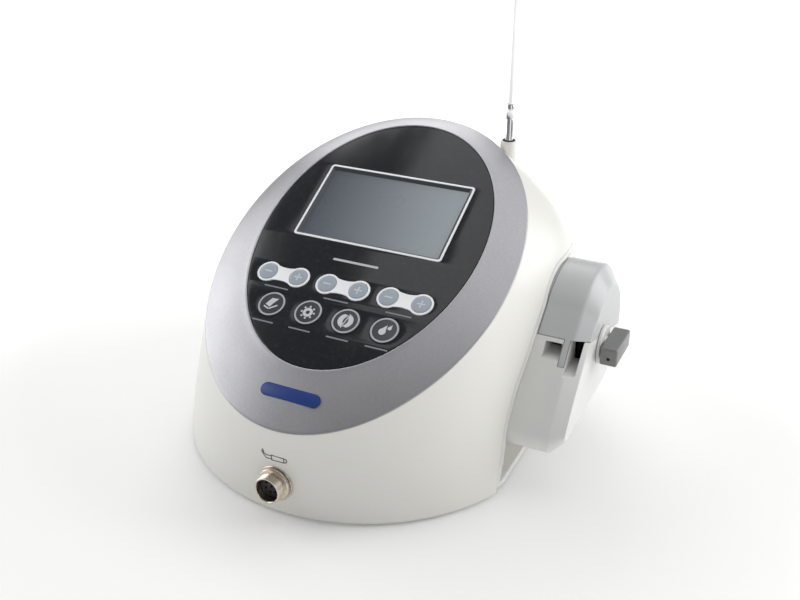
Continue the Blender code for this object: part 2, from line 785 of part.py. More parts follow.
def make_pump_cover():
    """Upper, grey half: a shell that swings up and back on the hinge pin."""
    hinge = empty("cover_hinge", (0, HINGE_Y, HINGE_Z))
    sections = pump_sections(0, COVER_INNER_X, PUMP_OUTER_X)
    shift = Vector((0, HINGE_Y, HINGE_Z))
    cover = loft("pump_cover", [[Vector(p) - shift for p in row] for row in sections], "pump_grey", hinge)
    combine(cover, half_space("cover_bottom", False, -GAP / 2))
    combine(cover, loft("cover_hollow", pump_sections(COVER_WALL, COVER_INNER_X + COVER_WALL,
                                                      PUMP_OUTER_X - COVER_WALL)))
    join(cover, cover_tab("cover_tab"))
    for start, end in ((105.6, 110.4), (119.6, 124.4)):
        combine(cover, hinge_knuckle("cover_relief_%d" % start, start, end, 0.5))
    join(cover, hinge_knuckle("cover_knuckle", 110.5, 119.5))
    join(cover, hinge_web("cover_web", 110.5, 119.5, 2.9))
    combine(cover, pump_bore("cover_pin_bore", HINGE_PIN_RADIUS + GAP, 60, 90, HINGE_Y, HINGE_Z))
    return cover


def make_hinge_pin():
    rod("hinge_pin", HINGE_PIN_RADIUS, 18.6, (105.7, HINGE_Y, HINGE_Z), (1, 0, 0), "steel", 12)


def roller_angle(number):
    return 90 + 360 * number / ROLLER_COUNT


def make_rotor():
    """Two flanges on a hub, joined by the three roller pins."""
    start, end = ROTOR_X
    axis = (1, 0, 0)
    flange = 2.5
    bore = SHAFT_RADIUS + GAP
    hub = 6.5
    width = end - start
    profile = [(bore, width), (ROTOR_FLANGE_RADIUS, width), (ROTOR_FLANGE_RADIUS, width - flange),
               (hub, width - flange), (hub, flange), (ROTOR_FLANGE_RADIUS, flange),
               (ROTOR_FLANGE_RADIUS, 0), (bore, 0)]
    rotor = turned("pump_rotor", profile, (start, ROTOR_Y, ROTOR_Z), axis, "black_plastic", 30, ring=True)
    for number in range(ROLLER_COUNT):
        turn = math.radians(roller_angle(number))
        y = ROTOR_Y + ROLLER_ORBIT * math.cos(turn)
        z = ROTOR_Z + ROLLER_ORBIT * math.sin(turn)
        pin = rod("roller_pin_%d" % number, ROLLER_PIN_RADIUS, width - 1.0, (start + 0.5, y, z), axis, steps=12)
        join(rotor, pin)
        bore = ROLLER_PIN_RADIUS + GAP
        tube = [(bore, ROLLER_LENGTH), (ROLLER_RADIUS, ROLLER_LENGTH), (ROLLER_RADIUS, 0), (bore, 0)]
        turned("roller_%d" % (number + 1), tube, (start + 2.8, y, z), axis, "roller_white", 20, ring=True)
    return rotor


def make_pump_drive():
    start, end = MOTOR_X
    length = end - start
    nose = length - 4
    profile = [(0, length), (12, length), (12, nose), (MOTOR_RADIUS, nose), (MOTOR_RADIUS, 0), (0, 0)]
    motor = turned("pump_motor", profile, (start, ROTOR_Y, ROTOR_Z), (1, 0, 0), "sheet_metal", 24)
    combine(motor, pump_bore("motor_bore", SHAFT_RADIUS + GAP, 20, end - 8, ROTOR_Y, ROTOR_Z))
    start, end = SHAFT_X
    rod("pump_shaft", SHAFT_RADIUS, end - start, (start, ROTOR_Y, ROTOR_Z), (1, 0, 0), "steel", 14)


def make_bay():
    """Tray that lines the opening for the pump in the housing's side."""
    floor = PLATE_THICKNESS + GAP
    tray = side_prism("pump_bay", [bay_outline(0, floor)], BAY_FLOOR_X, 125, "white_abs")
    hollow = bay_outline(-BAY_WALL, floor + 1.6)
    combine(tray, side_prism("bay_hollow", [hollow], BAY_FLOOR_X + BAY_WALL, 140))
    combine(tray, body_envelope("bay_trim", 0.2), "INTERSECT")
    combine(tray, box("bay_lip_trim", (60, 300, 100), (LIP_X + 30, 0, BAY_LIP_TRIM_Z - 50)))
    combine(tray, rod("bay_shaft_hole", SHAFT_RADIUS + 1.5, 30, (75, ROTOR_Y, ROTOR_Z), (1, 0, 0), steps=16))
    return tray


def make_latch():
    """Turning latch on the pump's outer face: a disc and a bar handle."""
    pivot = empty("latch_pivot", (PUMP_OUTER_X + GAP, LATCH_Y, LATCH_Z))
    radius = LATCH_DISC_RADIUS
    profile = [(0, 3.2), (radius - 0.6, 3.2), (radius, 2.6), (radius, 0), (0, 0)]
    latch = turned("cover_latch", profile, (0, 0, 0), (1, 0, 0), "pump_grey", 28, parent=pivot)
    thick, length, height = LATCH_BAR
    bar = box("latch_bar", LATCH_BAR, (3.0 + thick / 2, 0, 0), parent=pivot)
    bevel = bar.modifiers.new("Edges", "BEVEL")
    bevel.width = 1.2 * MM
    bevel.segments = 2
    join(latch, bar)
    return latch


# ---------------------------------------------------------------- rear

def make_rear_panel():
    width = REAR_PANEL_X + 6
    bottom, top = REAR_PANEL_Z
    holes = (("inlet_hole", (27.6, 20, 47.6), INLET_X, INLET_Z + 2),
             ("switch_hole", (13.6, 20, 19.6), SWITCH_X, CONNECTOR_Z))
    rear = box("rear_panel", (width, REAR_PANEL_THICKNESS, top - bottom + 6),
               (0, REAR_PANEL_Y - 3.2, (top + bottom) / 2), "sheet_metal")
    for name, size, x, z in holes:
        combine(rear, box(name, size, (x, REAR_PANEL_Y, z)))
    combine(rear, rod("pedal_hole", 7.4, 20, (PEDAL_X, REAR_PANEL_Y - 10, CONNECTOR_Z), (0, 1, 0), steps=20))
    combine(rear, rod("earth_hole", 3.3, 20, (EARTH_X, REAR_PANEL_Y - 10, CONNECTOR_Z), (0, 1, 0), steps=14))
    return rear


def make_mains_inlet():
    """Three-pin appliance inlet with a fuse drawer above it."""
    y = REAR_PANEL_Y - 2.2
    centre_z = INLET_Z + 2
    inlet = box("mains_inlet", (27, 22, 47), (INLET_X, y - 8, centre_z), "black_plastic")
    flange = box("inlet_flange", (32, 2.4, 50), (INLET_X, y + 1.6, centre_z))
    join(inlet, flange)
    combine(inlet, box("inlet_recess", (24, 30, 16), (INLET_X, y + 0.5, INLET_Z - 9)))
    combine(inlet, box("drawer_recess", (23, 30, 11), (INLET_X, y + 3.0, INLET_Z + 17)))
    for number, (dx, dz) in enumerate(((-7, -1), (0, 3), (7, -1))):
        pin = box("inlet_pin_%d" % number, (2, 16, 4), (INLET_X + dx, y - 8, INLET_Z - 9 + dz))
        join(inlet, pin)
    drawer = box("fuse_drawer", (22.2, 14, 10.2), (INLET_X, y - 3.6, INLET_Z + 17), "black_plastic")
    join(drawer, box("drawer_grip", (10, 3, 2.4), (INLET_X, y + 3.6, INLET_Z + 17)))


def make_power_switch():
    """Rocker switch: a fixed bezel box and a rocker that tips on its pivot."""
    y = REAR_PANEL_Y - 2.2
    frame = box("switch_body", (13, 18, 19), (SWITCH_X, y - 7, CONNECTOR_Z), "black_plastic")
    join(frame, box("switch_flange", (16, 2, 22.4), (SWITCH_X, y + 1.4, CONNECTOR_Z)))
    combine(frame, box("switch_pocket", (11, 20, 17), (SWITCH_X, y + 3, CONNECTOR_Z)))
    pivot = empty("switch_pivot", (SWITCH_X, y - 2.0, CONNECTOR_Z))
    outline = [(-2.6, 7.2), (-2.6, -7.2), (2.0, -7.0), (5.0, -6.9), (3.0, 0.0), (2.2, 7.0)]
    mesh = outline_mesh("power_switch", [outline], 10.2)
    mesh.transform(Matrix(((0, 0, 1, 0), (1, 0, 0, 0), (0, 1, 0, 0), (0, 0, 0, 1))))
    place(add_object("power_switch", mesh, "black_plastic"), (0, 0, 0), None, pivot)


def make_rear_fittings():
    y = REAR_PANEL_Y - 2.2
    pedal = [(0, 1.0), (5.2, 1.0), (5.2, 7), (7.0, 7), (7.0, 2.6), (9.4, 2.4), (9.4, 0.5),
             (7.0, 0.5), (7.0, -11), (0, -11)]
    turned("pedal_socket", pedal, (PEDAL_X, y, CONNECTOR_Z), (0, 1, 0), "nickel", 22)
    stud = [(0, 12), (2.6, 12), (3.0, 11.5), (3.0, 5), (5.6, 5), (5.6, 0.5), (3.0, 0.5), (3.0, -8), (0, -8)]
    turned("earth_stud", stud, (EARTH_X, y, CONNECTOR_Z), (0, 1, 0), "nickel", 16)


# ---------------------------------------------------------------- inside

def make_electronics():
    box("power_supply", (96, 46, 36), (-24, 58, 23.0), "sheet_metal")
    box("main_board", (140, 84, 1.6), (0, -34, 14), "board_green")
    rod("buzzer", 8, 9, (-40, -60, 15.2), finish="black_plastic", steps=20)


# ---------------------------------------------------------------- drip pole

def make_pole():
    """Socket in the housing, lower tube and the telescopic rod with its hook."""
    floor = POLE_SEAT_Z + 4
    bore = POLE_RADIUS + GAP
    seat = [(0, floor), (bore, floor), (bore, POLE_COLLAR_Z),
            (5.2, POLE_COLLAR_Z), (5.2, POLE_SEAT_Z), (0, POLE_SEAT_Z)]
    turned("pole_socket", seat, (POLE_X, POLE_Y, 0), finish="pump_grey", steps=20)
    low = floor + GAP
    bore = ROD_RADIUS + GAP
    tube = [(0, low + 3), (bore, low + 3), (bore, POLE_TOP_Z),
            (POLE_RADIUS, POLE_TOP_Z), (POLE_RADIUS, low), (0, low)]
    turned("pole_tube", tube, (POLE_X, POLE_Y, 0), finish="steel", steps=16)
    rod_item = rod("pole_rod", ROD_RADIUS, ROD_TOP_Z - ROD_BOTTOM_Z, (POLE_X, POLE_Y, ROD_BOTTOM_Z),
                   finish="steel", steps=12)
    join(rod_item, hook_mesh())


def hook_mesh():
    """Two-armed bag hook bent from wire, as a closed tube for joining."""
    curve = bpy.data.curves.new("bag_hook", "CURVE")
    curve.dimensions = "3D"
    curve.bevel_depth = 1.3 * MM
    curve.bevel_resolution = 1
    curve.use_fill_caps = True
    left = arc((-HOOK_REACH + 6, 0), 6, 150, 270, 6)
    right = [(-x, z) for x, z in reversed(left)]
    route = left + [(-10, -6), (0, -4), (10, -6)] + right
    spline = curve.splines.new("POLY")
    spline.points.add(len(route) - 1)
    for point, (x, z) in zip(spline.points, route):
        point.co = (x * MM, 0, z * MM, 1)
    holder = bpy.data.objects.new("bag_hook", curve)
    bpy.context.scene.collection.objects.link(holder)
    seen = holder.evaluated_get(bpy.context.evaluated_depsgraph_get())
    work = bmesh.new()
    work.from_mesh(bpy.data.meshes.new_from_object(seen))
    bmesh.ops.remove_doubles(work, verts=work.verts[:], dist=0.00001)
    bpy.data.objects.remove(holder, do_unlink=True)
    item = add_object("bag_hook", finish_mesh("bag_hook", work), None)
    place(item, (POLE_X, POLE_Y, ROD_TOP_Z + 2.6))
    return item


def shade_parts():
    for item in collection(PARTS).objects:
        if item.type == "MESH" and len(item.data.polygons):
            item.data.shade_smooth()
            item.data.set_sharp_from_angle(angle=math.radians(35))


def main():
    clear_scene()
    make_shell()
    make_base_plate()
    make_feet()
    make_base_screws()
    panel = empty("panel_frame", (0, 0, PANEL_HEIGHT), Matrix.Rotation(math.radians(PANEL_TILT), 3, "X"))
    make_fascia_ring(panel)
    make_face(panel)
    make_display(panel)
    make_rockers(panel)
    make_round_keys(panel)
    make_key_board(panel)
    make_socket()
    make_bay()
    make_pump_housing()
    make_pump_bracket()
    make_pump_cover()
    make_hinge_pin()
    make_rotor()
    make_pump_drive()
    make_latch()
    make_rear_panel()
    make_mains_inlet()
    make_power_switch()
    make_rear_fittings()
    make_electronics()
    make_pole()
    shade_parts()


main()
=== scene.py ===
"""Looks of a surgical motor console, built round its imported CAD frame.

Lengths are in millimetres and angles in degrees; the helpers turn them into
metres and radians. +Z is up, the operator is on the -Y side, the pump on +X.
"""
import json
import math

import bmesh
import bpy
from mathutils import Matrix, Vector


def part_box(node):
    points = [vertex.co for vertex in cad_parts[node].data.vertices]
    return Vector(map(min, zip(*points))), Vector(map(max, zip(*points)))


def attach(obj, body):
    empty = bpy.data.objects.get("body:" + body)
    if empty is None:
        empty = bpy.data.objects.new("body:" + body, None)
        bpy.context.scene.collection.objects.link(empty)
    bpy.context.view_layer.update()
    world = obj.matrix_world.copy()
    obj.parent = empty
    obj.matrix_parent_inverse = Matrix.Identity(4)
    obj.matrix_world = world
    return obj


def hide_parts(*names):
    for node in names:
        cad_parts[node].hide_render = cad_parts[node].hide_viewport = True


MM = 0.001
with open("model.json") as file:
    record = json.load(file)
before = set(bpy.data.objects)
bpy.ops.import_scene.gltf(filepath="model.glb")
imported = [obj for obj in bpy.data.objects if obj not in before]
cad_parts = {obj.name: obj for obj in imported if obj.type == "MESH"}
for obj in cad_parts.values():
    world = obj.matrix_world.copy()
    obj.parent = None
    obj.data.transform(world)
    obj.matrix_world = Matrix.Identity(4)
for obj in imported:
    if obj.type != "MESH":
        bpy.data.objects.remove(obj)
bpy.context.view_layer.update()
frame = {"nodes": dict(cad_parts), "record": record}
nodes = frame["nodes"]


def box_mm(node):
    """Lowest and highest corner of a CAD node in millimetres."""
    low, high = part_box(node)
    return low / MM, high / MM


# Outer body
BASE_RADIUS = 112.0
BASE_CENTRE_Y = -19.0
REAR_DEPTH = 137.0
REAR_SQUARENESS = 4.5
WALL = 2.4
WALL_SEGMENTS = 192
WALL_ROWS = 44
FRONT_BULGE = 1.3
REAR_BULGE = 3.0
SIDE_BULGE = 5.8
SIDE_BULGE_ANGLE = 26.0
SIDE_BULGE_SPREAD = 20.0

# Sloping panel: V runs up the slope and N out of it
PANEL_TILT = 28.4
PANEL_HEIGHT = 129.8
RIM_CENTRE_V = -33.3
RIM_HALF_X = 91.0
RIM_HALF_V = 118.4
RIM_EGG = 0.048
RIM_DROP = 6.4
FACE_CENTRE_V = -21.6
FACE_HALF_X = 69.4
FACE_HALF_V = 92.8
FACE_EGG = 0.033
FACE_THICKNESS = 2.4

# Silver ring: its crowned part lies between two shares of the way from the rim to the face
RING_START, RING_SPAN = 0.04, 0.90
RING_EDGE = 0.85
RING_RISE = RIM_DROP - 0.55
RING_CROWN = 0.35
RING_MARK_SHARE = 0.56

# Display and keys
DISPLAY_X = 94.0
DISPLAY_V = 55.0
DISPLAY_BORDER = 1.3
DISPLAY_CORNER = 2.0
DISPLAY_DEPTH = 1.7
DISPLAY_SLOPE = 1.9

ROCKER_V = -59.1
ROCKER_PITCH = 39.2
ROCKER_HALF_SPAN = 10.0
ROCKER_END_RADIUS = 7.0
ROCKER_WAIST = 4.6
STEP_KEY_RADIUS = 5.5
ROUND_KEY_V = -80.3
ROUND_KEY_PITCH = 24.0
ROUND_KEY_RADIUS = 8.4
KEY_TOP = 0.5
KEY_BOTTOM = -3.8
KEY_EDGE = 0.45
KEY_GAP = 0.3
PRINT = 0.07
KEY_PRINT = 0.23
TITLE_V = -41.2
ROCKER_LABEL_V = -68.6
ROUND_KEY_LABEL_V = -92.2

# Recess for the pump, and what stands on the base
LIP_X = 102.7
LIP_TRIM_Z = 15
BAY_FLOOR_X = 89.6
BAY_BOTTOM_Z = 3.3
BAY_SILL = 1.6
BAY_CLEARANCE = 2.6
BAY_GAP = 0.3
BAY_FOOT_Y = -63.4
BAY_WALL = 2.4
SHAFT_HOLE_RADIUS = 4.5
BASE_THICKNESS = 3.0
FOOT_HOLE_RADIUS = 3.0
SCREW_HOLE_RADIUS = 3.4

# Pump
HEAD_Y, HEAD_Z, HEAD_RADIUS = 29.0, 64.2, 41.0
TOE_Y, TOE_Z, TOE_RADIUS = -42.0, 31.5, 9.0
FACE_HEAD_Y, FACE_HEAD_RADIUS = 25.0, 31.5
FACE_TOE_Y, FACE_TOE_Z, FACE_TOE_RADIUS = -43.0, 36.0, 4.0
BROW_SAG = 3.0
PUMP_INNER_X = box_mm("pump_housing")[0].x
PUMP_OUTER_X = box_mm("pump_housing")[1].x
PUMP_SHOULDER_X = 126.0
COVER_INNER_X = box_mm("pump_cover")[0].x
COVER_WALL = 2.4
SPLIT_Z = 74.8
SPLIT_SLOPE = -0.28
ROTOR_Y, ROTOR_Z = 20.0, 60.0
TRACK_RADIUS = 26.0
TRACK_X = (106.6, 129.0)
MOUTH_Z = 58.3
INNER_NOTCH = ((110.5, -56, 69.6), (120.3, 4, 77.1))
OUTER_NOTCH = ((124.5, -56, 63.6), (131.0, 4, 90.0))
TAB_X = (120.7, 124.1)
TAB_BOTTOM_Z = 67.6
TAB_THICKNESS = 2.6
TAB_GAP = 0.3
TAB_SLOT_REAR_Y = -11.5
HINGE_Y, HINGE_Z = 73.0, 54.36
HINGE_RADIUS, HINGE_PIN_RADIUS = 3.4, 1.5
LATCH_Y, LATCH_Z, LATCH_RADIUS = 15.0, 64.5, 11.5
LATCH_BAR = (10.0, 29.0, 11.0)

# Motor socket and the outline printed above it
SOCKET_Z = 19.0
SOCKET_TILT = 4.0
SOCKET_RADIUS = 8.0
SOCKET_HOLE_RADIUS = SOCKET_RADIUS + 0.3
SOCKET_FLANGE_RADIUS = 9.8
SOCKET_STICKOUT = 9.5
CONTACT_CIRCLE_RADIUS = 3.7
PICTOGRAM_LINE = 0.48
PICTOGRAM_DEPTHS = (-0.1, 0.16)

# Rear panel and drip pole
REAR_PANEL_Z = (14.0, 66.0)
REAR_PANEL_WIDTH = 130.0
REAR_OPENING_Y = 116.8
POLE_X, POLE_Y = 50.0, 73.5
POLE_PLACE = (POLE_X, POLE_Y, 0)
POLE_HOLE_RADIUS = 5.6
ROD_TOP_Z = 318.0

# ------------------------------------------------------------- materials


class Nodes:
    """Small builder for a material's node tree."""

    def __init__(self, name):
        self.material = bpy.data.materials.new(name)
        self.material.use_nodes = True
        self.tree = self.material.node_tree
        self.shader = self.tree.nodes["Principled BSDF"]
        self.place = self.node("ShaderNodeTexCoord").outputs["Object"]

    def node(self, kind, **values):
        made = self.tree.nodes.new(kind)
        for key, value in values.items():
            if hasattr(made, key):
                setattr(made, key, value)
            else:
                made.inputs[key.replace("_", " ")].default_value = value
        return made

    def link(self, source, target):
        self.tree.links.new(source, target)

    def noise(self, scale, detail=3.0, stretch=None):
        made = self.node("ShaderNodeTexNoise", Scale=scale, Detail=detail)
        source = self.place
        if stretch is not None:
            mapping = self.node("ShaderNodeMapping", Scale=stretch)
            self.link(self.place, mapping.inputs["Vector"])
            source = mapping.outputs["Vector"]
        self.link(source, made.inputs["Vector"])
        return made.outputs["Fac"]

    def bricks(self, size_mm, gap_mm, first, second, between, offset=0.5):
        """Rows of rectangles in two colours with a third one between them."""
        made = self.node("ShaderNodeTexBrick", Scale=1.0 / MM, Mortar_Size=gap_mm, Brick_Width=size_mm[0],
                         Row_Height=size_mm[1], Color1=(*first, 1.0), Color2=(*second, 1.0),
                         Mortar=(*between, 1.0), offset=offset)
        self.link(self.place, made.inputs["Vector"])
        return made

    def remap(self, source, low, high, start=0.3, end=0.7):
        made = self.node("ShaderNodeMapRange", From_Min=start, From_Max=end, To_Min=low, To_Max=high)
        self.link(source, made.inputs["Value"])
        return made.outputs["Result"]

    def blend(self, factor, first, second):
        made = self.node("ShaderNodeMix", data_type="RGBA")
        for socket in made.inputs:
            if socket.type == "RGBA":
                socket.default_value = (*(first if socket.name == "A" else second), 1.0)
        self.link(factor, made.inputs["Factor"])
        return next(socket for socket in made.outputs if socket.type == "RGBA")

    def feed(self, source, socket):
        self.link(source, self.shader.inputs[socket])

    def colour(self, factor, first, second):
        self.feed(self.blend(factor, first, second), "Base Color")

    def roughness(self, source, low, high, start=0.3, end=0.7):
        self.feed(self.remap(source, low, high, start, end), "Roughness")

    def bump(self, source, height_mm, strength, below=None):
        """Fine relief, laid over softened edges where those are given."""
        made = self.node("ShaderNodeBump", Strength=strength, Distance=height_mm * MM)
        self.link(source, made.inputs["Height"])
        if below is not None:
            self.link(below, made.inputs["Normal"])
        self.feed(made.outputs["Normal"], "Normal")

    def rounded(self, radius_mm):
        return self.node("ShaderNodeBevel", Radius=radius_mm * MM, samples=4).outputs["Normal"]

    def set(self, **values):
        for key, value in values.items():
            self.shader.inputs[key.replace("_", " ")].default_value = value


def moulded(name, colour, roughness, grain_mm=0.35, grain=0.012, edge=0.0, tone=0.03, coat=0.0):
    """Moulded plastic: eroded grain, slow tone change and softened edges."""
    made = Nodes(name)
    darker = tuple(c * (1 - tone) for c in colour)
    lighter = tuple(min(1.0, c * (1 + tone * 0.6)) for c in colour)
    made.colour(made.remap(made.noise(9.0, 4.0), 0, 1), darker, lighter)
    made.roughness(made.noise(38.0, 6.0), roughness - 0.045, roughness + 0.06)
    soft = made.rounded(edge) if edge else None
    made.bump(made.noise(1.0 / (grain_mm * MM), 2.0), grain, 0.5, soft)
    made.set(Coat_Weight=coat, Coat_Roughness=0.15)
    return made.material


def metallic_paint(name):
    """Silver paint: fine flakes under a thin satin lacquer."""
    made = Nodes(name)
    cells = made.node("ShaderNodeTexVoronoi", Scale=4200.0)
    made.link(made.place, cells.inputs["Vector"])
    sparkle = made.node("ShaderNodeSeparateColor")
    made.link(cells.outputs["Color"], sparkle.inputs["Color"])
    flake = made.remap(sparkle.outputs["Red"], 0, 1, 0.0, 1.0)
    made.colour(flake, (0.36, 0.36, 0.38), (0.46, 0.46, 0.485))
    made.roughness(made.noise(26.0, 4.0), 0.36, 0.44)
    made.bump(made.noise(900.0, 2.0), 0.01, 0.35)
    made.set(Metallic=0.78, Coat_Weight=0.15, Coat_Roughness=0.3)
    return made.material


def gloss_panel(name):
    """Black overlay: hard gloss with faint dust and wiping marks."""
    made = Nodes(name)
    smear = made.noise(60.0, 5.0, (1.0, 0.35, 1.0))
    made.roughness(smear, 0.12, 0.20, 0.35, 0.75)
    dust = made.remap(made.noise(420.0, 6.0), 0, 1, 0.5, 0.8)
    made.colour(dust, (0.008, 0.009, 0.012), (0.020, 0.022, 0.026))
    made.bump(made.noise(110.0, 2.0), 0.01, 0.2)
    made.set(Specular_IOR_Level=0.55)
    return made.material


def crystal_display(name):
    """Switched-off liquid crystal: blue-grey, with a painted reflection that lightens it towards the right, a
    faint dot grid and a hard cover.
    """
    made = Nodes(name)
    dots = made.bricks((0.36, 0.36), 0.06, (0.955, 0.955, 0.955), (0.97, 0.97, 0.97), (1.0, 1.0, 1.0), 0.0)
    axes = made.node("ShaderNodeSeparateXYZ")
    made.link(made.place, axes.inputs["Vector"])
    # Base colour goes from dark on the left to light on the right: a painted reflection across the screen.
    across = made.remap(axes.outputs["X"], 0, 1, -0.052, 0.040)
    tinted = made.node("ShaderNodeVectorMath", operation="MULTIPLY")
    made.link(made.blend(across, (0.046, 0.060, 0.080), (0.265, 0.305, 0.335)), tinted.inputs[0])
    made.link(dots.outputs["Color"], tinted.inputs[1])
    made.feed(tinted.outputs["Vector"], "Base Color")
    made.roughness(made.noise(40.0, 1.0), 0.27, 0.29)
    made.set(Specular_IOR_Level=0.8, Coat_Weight=0.5, Coat_Roughness=0.16)
    return made.material


def turned_metal(name, colour, roughness, axis="Z"):
    """Machined and plated metal with fine concentric tool marks."""
    made = Nodes(name)
    ring_mm, groove_mm = 0.12, 0.004
    made.roughness(made.noise(300.0, 5.0), roughness - 0.05, roughness + 0.09)
    made.colour(made.remap(made.noise(150.0, 4.0), 0, 1), tuple(c * 0.9 for c in colour), colour)
    rings = made.node("ShaderNodeTexWave", wave_type="RINGS", rings_direction=axis,
                      Scale=1.0 / (ring_mm * MM * 3.2), Distortion=0.4)
    made.link(made.place, rings.inputs["Vector"])
    made.bump(rings.outputs["Fac"], groove_mm, 0.5)
    made.set(Metallic=1.0)
    return made.material


def polished_steel(name):
    """Drawn stainless tube: mirror polish with faint lengthwise lines."""
    made = Nodes(name)
    lines = made.noise(900.0, 4.0, (1.0, 1.0, 0.02))
    made.roughness(lines, 0.07, 0.17)
    made.bump(lines, 0.004, 0.3)
    made.colour(made.noise(60.0, 3.0), (0.60, 0.61, 0.63), (0.72, 0.72, 0.73))
    made.set(Metallic=1.0)
    return made.material


def brushed_sheet(name):
    """Zinc-coated sheet with a brushed grain."""
    made = Nodes(name)
    lines = made.noise(500.0, 6.0, (0.03, 1.0, 1.0))
    made.roughness(lines, 0.30, 0.48)
    made.colour(made.remap(made.noise(35.0, 5.0), 0, 1), (0.46, 0.47, 0.48), (0.60, 0.61, 0.62))
    made.bump(lines, 0.01, 0.4)
    made.set(Metallic=0.9)
    return made.material


def soft_rubber(name):
    """Black rubber with a matt, slightly uneven skin."""
    made = Nodes(name)
    made.colour(made.remap(made.noise(120.0, 6.0), 0, 1), (0.018, 0.018, 0.018), (0.045, 0.044, 0.042))
    made.roughness(made.noise(400.0, 3.0), 0.68, 0.88)
    made.bump(made.noise(2400.0, 3.0), 0.03, 0.6)
    return made.material


def circuit_board(name):
    """Solder mask over copper tracks."""
    made = Nodes(name)
    tracks = made.bricks((9.0, 2.2), 0.35, (0.012, 0.085, 0.035), (0.014, 0.105, 0.042), (0.035, 0.20, 0.075))
    made.feed(tracks.outputs["Color"], "Base Color")
    made.roughness(made.noise(90.0, 4.0), 0.28, 0.42)
    made.bump(tracks.outputs["Fac"], 0.04, 0.5)
    return made.material


FINE_GRAIN = {"grain_mm": 0.15, "grain": 0.004, "edge": 0.2}
INK = {"grain_mm": 0.15, "grain": 0.002}
THICK_INK = {"grain_mm": 0.2, "grain": 0.002}

# Moulded and printed finishes: colour, roughness and what differs from the plain moulding
MOULDED = {
    "white_abs": ((0.80, 0.795, 0.755), 0.34, {"edge": 0.9, "coat": 0.12}),
    "pump_white": ((0.75, 0.75, 0.73), 0.36, {"edge": 0.5, "coat": 0.1}),
    "pump_grey": ((0.52, 0.53, 0.535), 0.36, {"edge": 0.5, "coat": 0.1}),
    "knob_grey": ((0.19, 0.195, 0.19), 0.36, {"edge": 0.5}),
    "white_print": ((0.93, 0.94, 0.955), 0.32, {"grain_mm": 0.2, "grain": 0.003, "edge": 0.2}),
    "key_blue_grey": ((0.36, 0.405, 0.47), 0.30, FINE_GRAIN),
    "key_dark": ((0.050, 0.052, 0.058), 0.24, FINE_GRAIN),
    "key_ring": ((0.44, 0.46, 0.50), 0.34, INK),
    "icon": ((0.62, 0.64, 0.67), 0.4, INK),
    "faint_print": ((0.22, 0.235, 0.25), 0.4, INK),
    "title_print": ((0.55, 0.56, 0.58), 0.4, INK),
    "blue_print": ((0.010, 0.040, 0.215), 0.35, {"grain_mm": 0.2, "grain": 0.003}),
    "grey_print": ((0.09, 0.09, 0.10), 0.5, THICK_INK),
    # Near-black colour of the screen's sloping frame: painted shade of the recess round the screen.
    "display_slope": ((0.045, 0.055, 0.066), 0.2, THICK_INK),
    "black_plastic": ((0.018, 0.018, 0.020), 0.42, {"edge": 0.25, "tone": 0.15}),
    "roller_white": ((0.72, 0.72, 0.68), 0.42, {"edge": 0.2}),
}


def make_materials():
    made = {name: moulded(name, colour, roughness, **rest)
            for name, (colour, roughness, rest) in MOULDED.items()}
    made["nickel"] = turned_metal("nickel", (0.66, 0.585, 0.50), 0.24, "Y")
    made["screw_steel"] = turned_metal("screw_steel", (0.50, 0.50, 0.52), 0.28)
    for name, build in (("silver_paint", metallic_paint), ("black_face", gloss_panel),
                        ("display_glass", crystal_display), ("steel", polished_steel),
                        ("sheet_metal", brushed_sheet), ("rubber", soft_rubber),
                        ("board_green", circuit_board)):
        made[name] = build(name)
    return made


FINISHES = make_materials()


def dress_frame():
    """Give every CAD node the procedural finish of its own slot."""
    for entry in frame["record"]["subparts"]:
        item = nodes[entry["node"]]
        item.data.materials.clear()
        item.data.materials.append(FINISHES[entry["material_slot"]])


# ------------------------------------------------------------- mesh helpers

def new_object(name, mesh):
    item = bpy.data.objects.new(name, mesh)
    bpy.context.scene.collection.objects.link(item)
    return item


def unchecked(name, work):
    """Object from a bmesh whose normals already point outwards."""
    mesh = bpy.data.meshes.new(name)
    work.to_mesh(mesh)
    work.free()
    return new_object(name, mesh)


def from_bmesh(name, work):
    bmesh.ops.recalc_face_normals(work, faces=work.faces[:])
    return unchecked(name, work)


def applied(item):
    """Mesh of an object with its modifiers or its curve settings applied."""
    return bpy.data.meshes.new_from_object(item.evaluated_get(bpy.context.evaluated_depsgraph_get()))


def moved(item, matrix):
    item.data.transform(matrix)
    return item


def settle(item, sharp):
    """Apply the modifiers, then shade smooth except across sharp edges."""
    mesh = applied(item)
    item.modifiers.clear()
    item.data = mesh
    mesh.polygons.foreach_set("use_smooth", [True] * len(mesh.polygons))
    mesh.set_sharp_from_angle(angle=math.radians(sharp))


def piece(item, finish, body, replaced=(), sharp=32.0, weighted=False):
    """Finish a piece: settled mesh, material, body and the nodes it stands for."""
    settle(item, sharp)
    item.data.materials.clear()
    item.data.materials.append(FINISHES[finish])
    if weighted:
        even = item.modifiers.new("Even", "WEIGHTED_NORMAL")
        even.keep_sharp = True
        even.weight = 90
    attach(item, body)
    if replaced:
        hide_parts(*replaced)


def skin(work, rows, ring):
    """Faces between neighbouring rows of vertices, where a row may be a single tip."""
    count = max(len(row) for row in rows)
    pairs = list(zip(rows, rows[1:]))
    if ring:
        pairs.append((rows[-1], rows[0]))
    for first, second in pairs:
        for i in range(count):
            j = (i + 1) % count
            corners = [first[i % len(first)], first[j % len(first)], second[j % len(second)],
                       second[i % len(second)]]
            corners = list(dict.fromkeys(corners))
            if len(corners) > 2:
                work.faces.new(corners)


def loft(name, sections, ring=False):
    """Skin over sections of equal point counts: closed by caps, or on itself as a ring."""
    work = bmesh.new()
    rows = [[work.verts.new(Vector(point) * MM) for point in section] for section in sections]
    skin(work, rows, ring)
    if not ring:
        work.faces.new(list(reversed(rows[0])))
        work.faces.new(rows[-1])
    return from_bmesh(name, work)


def towards(direction):
    """Turn from +Z to a direction."""
    return Vector((0, 0, 1)).rotation_difference(Vector(direction)).to_matrix().to_4x4()


